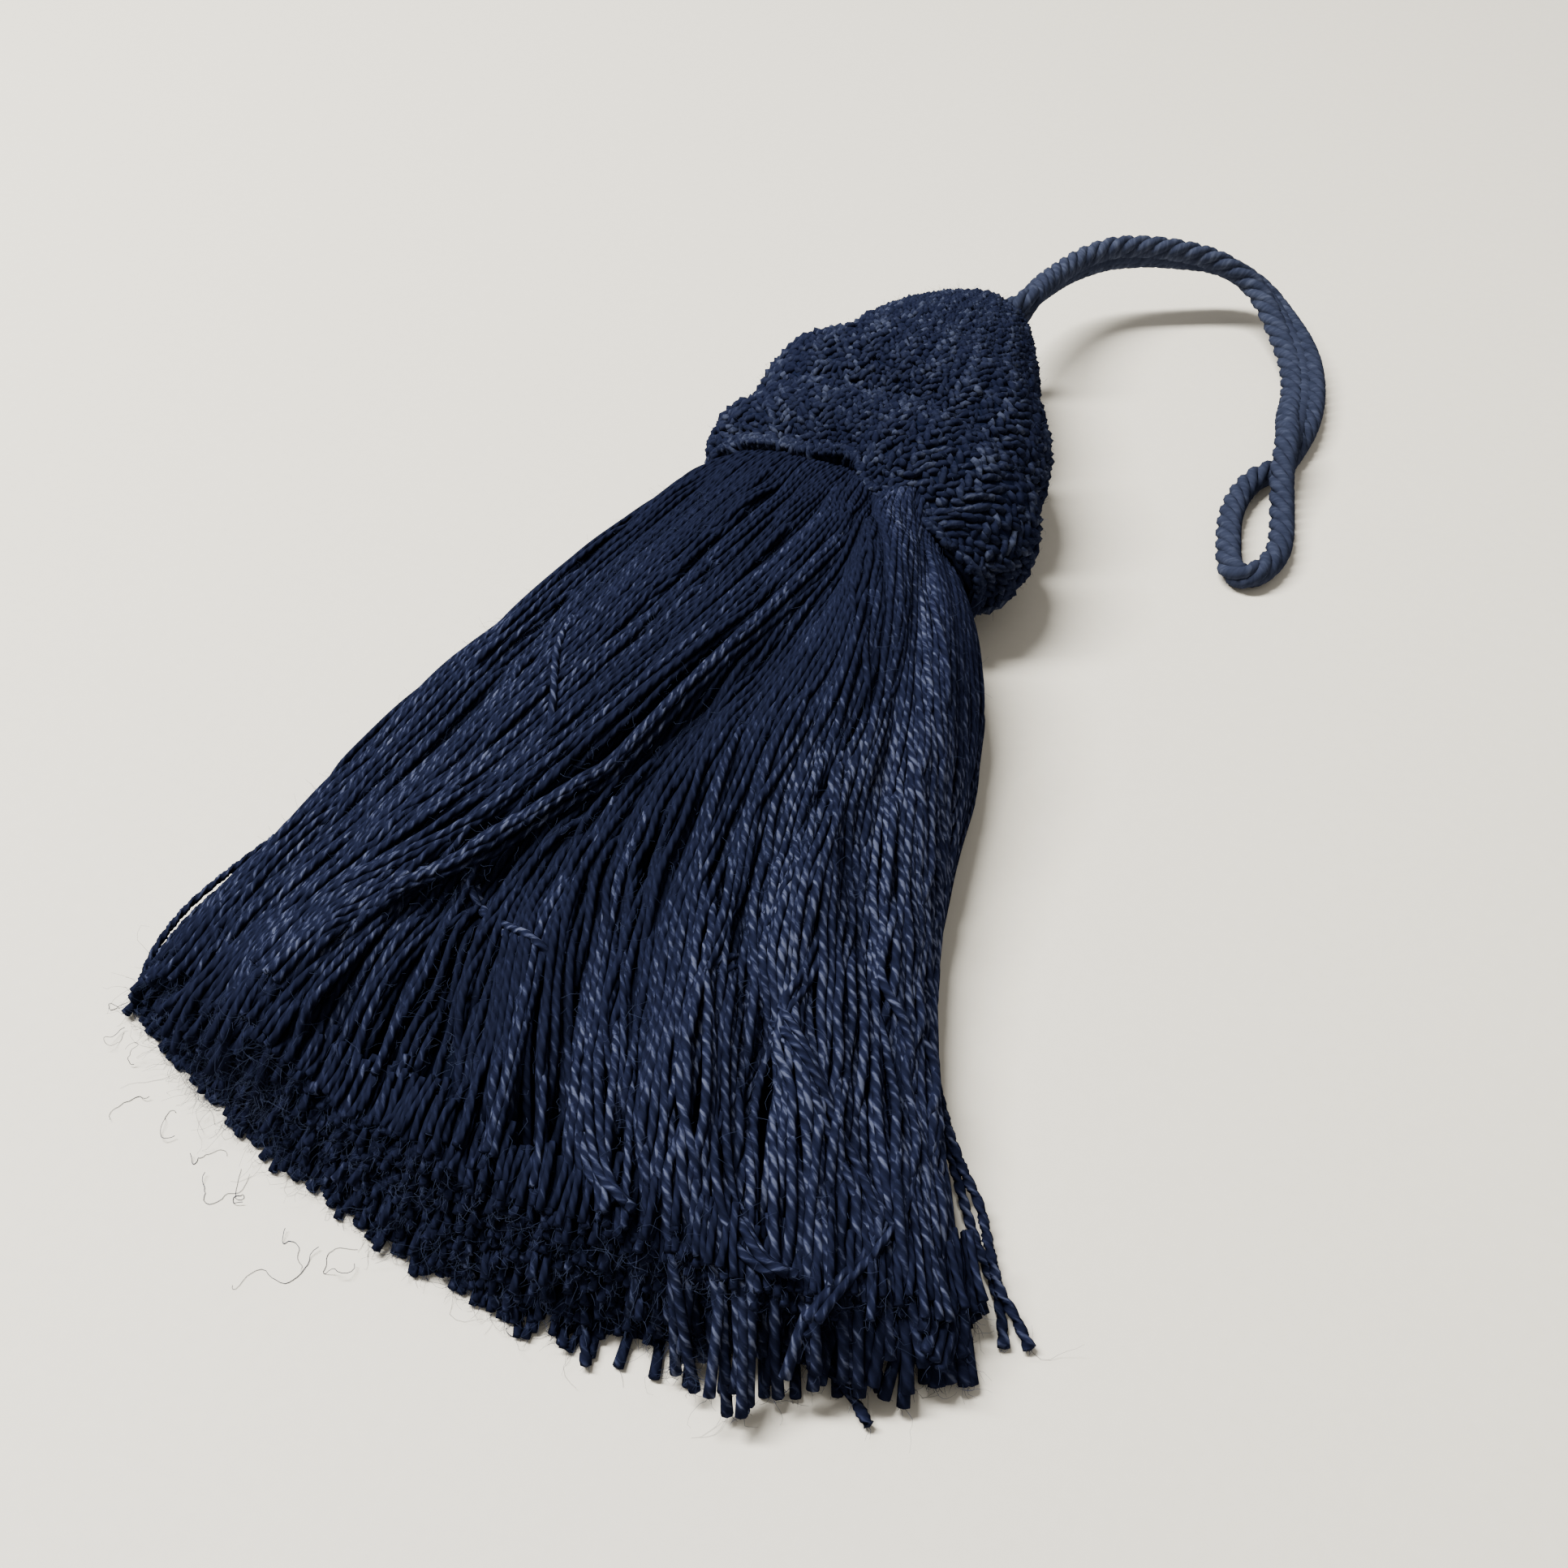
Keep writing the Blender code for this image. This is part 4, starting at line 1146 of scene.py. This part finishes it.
# ---- cap -----------------------------------------------------------------------
class CapSurface:
    """The cap solid's surface, read by angle round it and distance from its
    rim to its top."""

    def __init__(self):
        tree = solid_tree("cap")
        self.turns = np.linspace(0.0, TURN, 121)
        reach = np.linspace(0.0, 1.0, 90)
        grid = np.zeros((len(reach), len(self.turns), 3))
        for i, u in enumerate(reach):
            along = CAP_RIM + min(u / 0.8, 1.0) * (CAP_SHOULDER - CAP_RIM)
            lean = smooth_step(0.8, 1.0, u) * math.radians(89.0)
            slant = np.interp(along, *CAP_SLANTS.T) * math.cos(lean)
            start = Vector((np.interp(along, *CAP_MIDDLES.T), along - MIDDLE,
                            CAP_AXIS_Z + 2.0 * u)) * MM
            for j, turn in enumerate(self.turns):
                away = Vector((math.cos(turn) * math.cos(lean),
                               math.sin(lean) - slant * math.cos(turn),
                               math.sin(turn) * math.cos(lean)))
                # Near the rim the ray comes from outside, past the mouth.
                ray = (start + away * RAY_LENGTH, -away) if u < 0.22 else (start, away)
                grid[i, j] = np.array(tree.ray_cast(*ray)[0] or start) / MM
        step = np.linalg.norm(np.diff(grid, axis=0), axis=2).mean(axis=1)
        run = np.concatenate(((0.0,), np.cumsum(step)))
        self.length = run[-1]
        runs = np.linspace(0.0, self.length, 120)
        self.grid = np.stack([read_at(runs, run, line) for line in grid.transpose(1, 0, 2)], 1)
        along_vec = np.gradient(self.grid, axis=0)
        round_vec = np.gradient(self.grid, axis=1)
        round_vec[:, 0] = round_vec[:, -1] = self.grid[:, 1] - self.grid[:, -2]
        normal = unit(np.cross(round_vec, along_vec))
        centre = self.grid.mean(axis=1, keepdims=True)
        self.normal = normal * np.sign(((self.grid - centre) * normal).sum(-1).mean())

    def read(self, grid, turn, run):
        rows, columns = len(self.grid), len(self.turns)
        row = np.clip(run / self.length * (rows - 1), 0, rows - 1.001)
        column = np.clip((turn % TURN) / TURN * (columns - 1), 0, columns - 1.001)
        return bilinear(grid, row, column)

    def place(self, turn, run, height):
        """Points over the surface; a run below 0 goes on past the rim,
        leaning in to the strands."""
        run = run * np.ones_like(turn)
        normal = unit(self.read(self.normal, turn, run))
        past = np.minimum(run, 0.0)[..., None]
        points = self.read(self.grid, turn, run) + np.array((0.0, 1.0, 0.0)) * past
        return points + normal * (np.asarray(height)[..., None] + 0.35 * past), normal

    def girth(self, run):
        return lengths_along(self.place(np.linspace(0, TURN, 60), run, 0.0)[0])[-1]


def cap_stand(turn, share):
    """How far the stitches stand out. The bands lie lower on the cap's left
    than on its top."""
    turn = turn % TURN
    left = smooth_step(1.2, 2.5, turn) * smooth_step(4.2, 3.4, turn)
    low, high = 0.25 - 0.11 * left, 0.57 - 0.17 * left
    level = np.where(share < low, share / low * 0.25,
                     np.where(share < high, 0.25 + (share - low) / (high - low) * 0.32,
                              0.57 + (share - high) / (1.0 - high) * 0.43))
    second = smooth_step(0.26, 0.34, level) * smooth_step(0.58, 0.565, level)
    return np.interp(level, STAND_PLACES, STANDS) + 0.6 * left * second


def pleat_at(turn):
    return bump(turn, math.radians(97.0), 0.33)


def rim_reach(turn):
    """How far the rim comes forward over the strands, mm: on the right it
    does, at the pleat it goes back."""
    degrees = (np.degrees(turn) + 120.0) % 360.0 - 120.0
    forward = smooth_step(84.0, 60.0, degrees) * smooth_step(-60.0, -10.0, degrees)
    return 2.1 * forward - 1.3 * bump(degrees, 95.0, 17.0)


def add_stitch(yarns, surface, turn, run, height, floor, radius, tone):
    line, normals = surface.place(turn, run, height)
    yarns.add(keep_above(line, floor), radius, STITCH, STITCH_PITCH, tone, up=normals, taper=0.5)


def make_cap(material, shaded_core_material):
    surface = CapSurface()
    yarns = Yarns()
    for row in range(CAP_ROWS):
        here = (row + 0.5) / CAP_ROWS * surface.length * 0.985
        girth = surface.girth(here)
        columns = 6 * RIBS
        while girth / columns < 0.6 and columns > RIBS:
            columns -= RIBS
        if girth / columns >= 0.5 or row % 2 == 0:
            add_row(yarns, surface, here, columns, girth / columns, 0.5 * (row % 2))
    add_lip(yarns, surface)
    dress(yarns.build("cap_stitches", material), "cap")
    dress(make_cap_core(surface, shaded_core_material), "cap")
    return surface


def add_row(yarns, surface, here, columns, width, shift):
    """One round of stitches; those of a rib stand up and get a painted highlight, some with
    brighter painted specks, and those in the pleat get painted shade.
    """
    for column in range(columns):
        centre = (column + shift + rng.normal(0, 0.12)) / columns * TURN
        place = column * 5 * RIBS // columns % 5
        raised = place < 2
        slant = (0.7 if place % 2 else -0.7) + rng.normal(0, 0.55)
        p = np.array((-0.46, 0.0, 0.46))
        turn = centre + p * TURN / columns
        run = here + rng.normal(0, 0.14) + slant * p * width
        run = np.clip(run, 0.05, surface.length - 0.3)
        height = (-0.4 if raised else -0.52) + np.array((-0.16, 0.0, -0.16)) + rng.normal(0, 0.09)
        pleat = pleat_at(turn) * bump(run, 0.0, 3.0)
        height = height + cap_stand(turn, run / surface.length) - 1.2 * pleat
        run = run - rim_reach(turn) * np.clip(1.0 - run / 9.0, 0.0, 1.0)
        # Painted light and shade: ribs lighter, a few stitches with bright painted specks, the
        # pleat darker.
        tone = (0.5 if raised else 0.34) + rng.normal(0, 0.1) - 0.3 * pleat.max()
        tone += rng.uniform(0.1, 0.45) if rng.random() < (0.24 if raised else 0.04) else 0.0
        add_stitch(yarns, surface, turn, run, height, 0.42, np.array((0.35, 0.45, 0.35)),
                   np.clip(tone, 0.02, 1.0))


def add_lip(yarns, surface):
    """The turned-in edge of the cap's mouth, down to the strands."""
    turns = np.linspace(0, TURN, 160)
    pleat = pleat_at(turns)
    rim, _ = surface.place(turns, -rim_reach(turns), -0.3 - 0.9 * pleat)
    middle = rim.mean(axis=0)
    bright = smooth_step(122, 135, np.degrees(turns)) * smooth_step(172, 160, np.degrees(turns))
    for inward, deeper in ((0.0, -0.1), (0.05, 0.0), (0.11, 0.2), (0.17, 0.5), (0.23, 0.9),
                           (0.29, 1.4), (0.35, 1.9), (0.41, 2.5)):
        ring = rim + (middle - rim) * (inward, 0.3 * inward, inward)
        ring[:, 1] += deeper
        ring += 0.15 * np.sin(turns[:, None] * (11, 13, 17) + inward * 40)
        ring = keep_above(ring, 0.6)
        # Painted shade: darker further into the mouth and in the pleat; lighter along the lip's
        # left.
        tone = 0.42 + 0.4 * bright * (inward < 0.08) - 0.25 * pleat - 0.2 * inward
        path = even(np.hstack((ring, unit(rim - middle), tone[:, None])), 0.7)
        path[:, :3] += rng.normal(0, 0.1, (len(path), 3))
        yarns.add(path[:, :3], 0.46, THIN_TUBE, STITCH_PITCH, np.clip(path[:, 6], 0.02, 1.0),
                  up=unit(path[:, 3:6]))

    def bright_at(turn):
        return bright[int(np.degrees(turn) / 360 * len(turns))]

    for _ in range(LIP_TUFTS):
        share = np.linspace(0.0, 1.0, 6)
        turn = math.radians(rng.uniform(80.0, 168.0)) + rng.normal(0, 0.12) * share
        run = rng.uniform(0.2, 0.9) - rng.uniform(1.0, 2.3) * share - rim_reach(turn)
        height = -0.15 + 0.35 * np.sin(math.pi * share) - 1.3 * share ** 2 - 1.0 * pleat_at(turn)
        tone = rng.uniform(0.3, 0.65) + 0.15 * bright_at(turn[0])
        add_stitch(yarns, surface, turn, run, height, 0.5, 0.36, tone)
    for _ in range(LIP_STITCHES):
        share = np.array((-1.0, 0.0, 1.0))
        slant = rng.uniform(-1.2, 1.2)
        start = math.radians(rng.uniform(-50.0, 200.0))
        turn = start + 0.034 * np.cos(slant) * share
        run = rng.uniform(-0.5, 0.4) + 0.45 * np.sin(slant) * share - rim_reach(turn)
        height = rng.uniform(-0.15, 0.12) - 0.16 * share ** 2 - 0.9 * pleat_at(turn)
        tone = rng.uniform(0.22, 0.5) + at_times(0.15, 0.3)
        add_stitch(yarns, surface, turn, run, height, 0.5, np.array((0.34, 0.44, 0.34)),
                   tone + 0.2 * bright_at(start % TURN))


def make_cap_core(surface, material):
    turns = np.linspace(0, TURN, 72, endpoint=False)
    rings = []
    for run in np.linspace(0.3, surface.length, 44):
        pleat = pleat_at(turns) * bump(run, 0.0, 3.0)
        place = run - rim_reach(turns) * max(0.0, 1.0 - run / 9.0)
        height = cap_stand(turns, place / surface.length) - 0.54 - 1.3 * pleat
        rings.append(keep_above(surface.place(turns, place, height)[0], 0.3))
    neck = rings[0] + (0.0, 3.0, 0.0)
    centre = neck.mean(axis=0)
    return core_piece("cap_core", [centre + (neck - centre) * 0.66] + rings, material)


# ---- fibres ----------------------------------------------------------------------
def make_fuzz(tips, woolly, heights, material):
    """Fibre ends: at the cut, and lying over the skirt."""
    fibres = Fibres()
    points, ways = np.array(tips.points), np.array(tips.ways)
    each = amount(2)
    count = len(points) * each
    starts = np.repeat(points, each, axis=0) + rng.normal(0, 0.16, (count, 3))
    headings = np.repeat(ways, each, axis=0) + rng.normal(0, 0.6, (count, 3))
    fibres.add(starts, headings, rng.uniform(0.4, 1.3, count), 0.4, 0.017)
    everywhere = np.arange(len(points))
    left = np.nonzero(points[:, 0] < -14.0)[0]
    for where, count, spread, lengths, curl, radius, joints in (
            (everywhere, amount(600), 0.6, (1.8, 4.5), 0.75, 0.015, 8),
            (left, amount(260), 0.7, (1.5, 5.5), 0.6, 0.017, 9)):
        pick = rng.choice(where, count)
        headings = ways[pick] + rng.normal(0, spread, (count, 3))
        fibres.add(points[pick], headings, rng.uniform(*lengths, count), curl, radius, joints)
    count = amount(1500)
    pick = rng.integers(0, len(woolly.points), count)
    spots, toward = np.array(woolly.points)[pick], np.array(woolly.ways)[pick]
    back = rng.uniform(0.0, 2.6, (count, 1))
    headings = toward + rng.normal(0, 0.9, (count, 3))
    starts = spots - toward * back + rng.normal(0, 0.3, (count, 3))
    fibres.add(starts, headings, rng.uniform(0.5, 1.7, count), 0.8, 0.02)
    headings = STRAY_FIBRES[:, 3:5] @ np.eye(2, 3)
    fibres.add(STRAY_FIBRES[:, :3], headings, STRAY_FIBRES[:, 5], 0.42, 0.035, joints=26)
    dress(fibres.build("skirt_fibre_ends", material), "skirt")
    fibres = Fibres()
    count = amount(4400)
    across = rng.uniform(-0.97, 0.97, count)
    run = rng.uniform(0.08, 0.97, count)
    column, row = column_at(across).astype(int), row_at(run).astype(int)
    starts = np.stack((MIDDLES[row] + across * HALVES[row], along_to_y(across, run, 1.0),
                       heights[row, column] - rng.uniform(0.0, 0.5, count)), 1)
    headings = rng.normal(0, 1, (count, 3)) * (0.8, 1.0, 0.3) + (0.0, -0.5, 0.25)
    fibres.add(starts, headings, rng.uniform(0.8, 2.2, count), 0.6, 0.014)
    dress(fibres.build("skirt_surface_fibres", material), "skirt")


def make_cap_fuzz(surface, material):
    count = amount(2150)
    turn = rng.uniform(0.0, TURN, count)
    run = rng.uniform(0.0, surface.length * 0.97, count)
    points, normals = surface.place(turn, run, cap_stand(turn, run / surface.length) - 0.2)
    fibres = Fibres()
    headings = normals + rng.normal(0, 0.9, (count, 3))
    fibres.add(keep_above(points, 0.1), headings, rng.uniform(0.4, 1.3, count), 0.6, 0.014)
    dress(fibres.build("cap_fibre_ends", material), "cap")


# The yarns' colours, from painted shade deep between the plies, through the yarn's own navy, to the
# painted highlight on a ply's crown.
SKIRT_RAMP = ((0.0, (0.0048, 0.006, 0.0142)), (0.4, (0.0098, 0.0124, 0.0303)),
              (0.72, (0.031, 0.0371, 0.0716)), (1.0, (0.064, 0.0738, 0.119)))
CAP_RAMP = ((0.0, (0.0044, 0.0056, 0.015)), (0.4, (0.0076, 0.0097, 0.0236)),
            (0.7, (0.0142, 0.0176, 0.0365)), (1.0, (0.037, 0.044, 0.074)))
LOOP_RAMP = ((0.0, (0.0095, 0.0122, 0.024)), (0.5, (0.025, 0.0304, 0.054)),
             (1.0, (0.052, 0.062, 0.098)))


def main():
    make_camera()
    yarn = yarn_material("navy_skirt_yarn", SKIRT_RAMP, speck=1.2)
    cap_yarn = yarn_material("navy_cap_yarn", CAP_RAMP, 0.2, 0.7, 0.6, (2.6, 4.0))
    loop_yarn = yarn_material("navy_loop_yarn", LOOP_RAMP, 0.15, 0.8, 0.5, (1.4, 7.0))
    # The skirt's heart, darker than its yarn: painted shade deep among the strands.
    core = plain_material("navy_heart_shade", (0.002, 0.0027, 0.0072), (0.0034, 0.0045, 0.0112),
                          0.9, 900.0, 0.1)
    # The cap's heart, darker than its stitches: painted shade under them.
    knit_core = plain_material("navy_knit_heart_shade", (0.0042, 0.0058, 0.016),
                               (0.0066, 0.009, 0.0235), 0.9, 700.0, 0.2)
    fluff = plain_material("navy_fluff", (0.013, 0.018, 0.04), (0.04, 0.05, 0.092),
                           0.8, 400.0, 0.02)
    make_loop(loop_yarn)
    make_table()
    make_lights()
    tips, woolly, heights = make_skirt(yarn, core)
    make_stubs(heights, yarn, tips)
    surface = make_cap(cap_yarn, knit_core)
    make_cap_fuzz(surface, fluff)
    make_fuzz(tips, woolly, heights, fluff)


main()
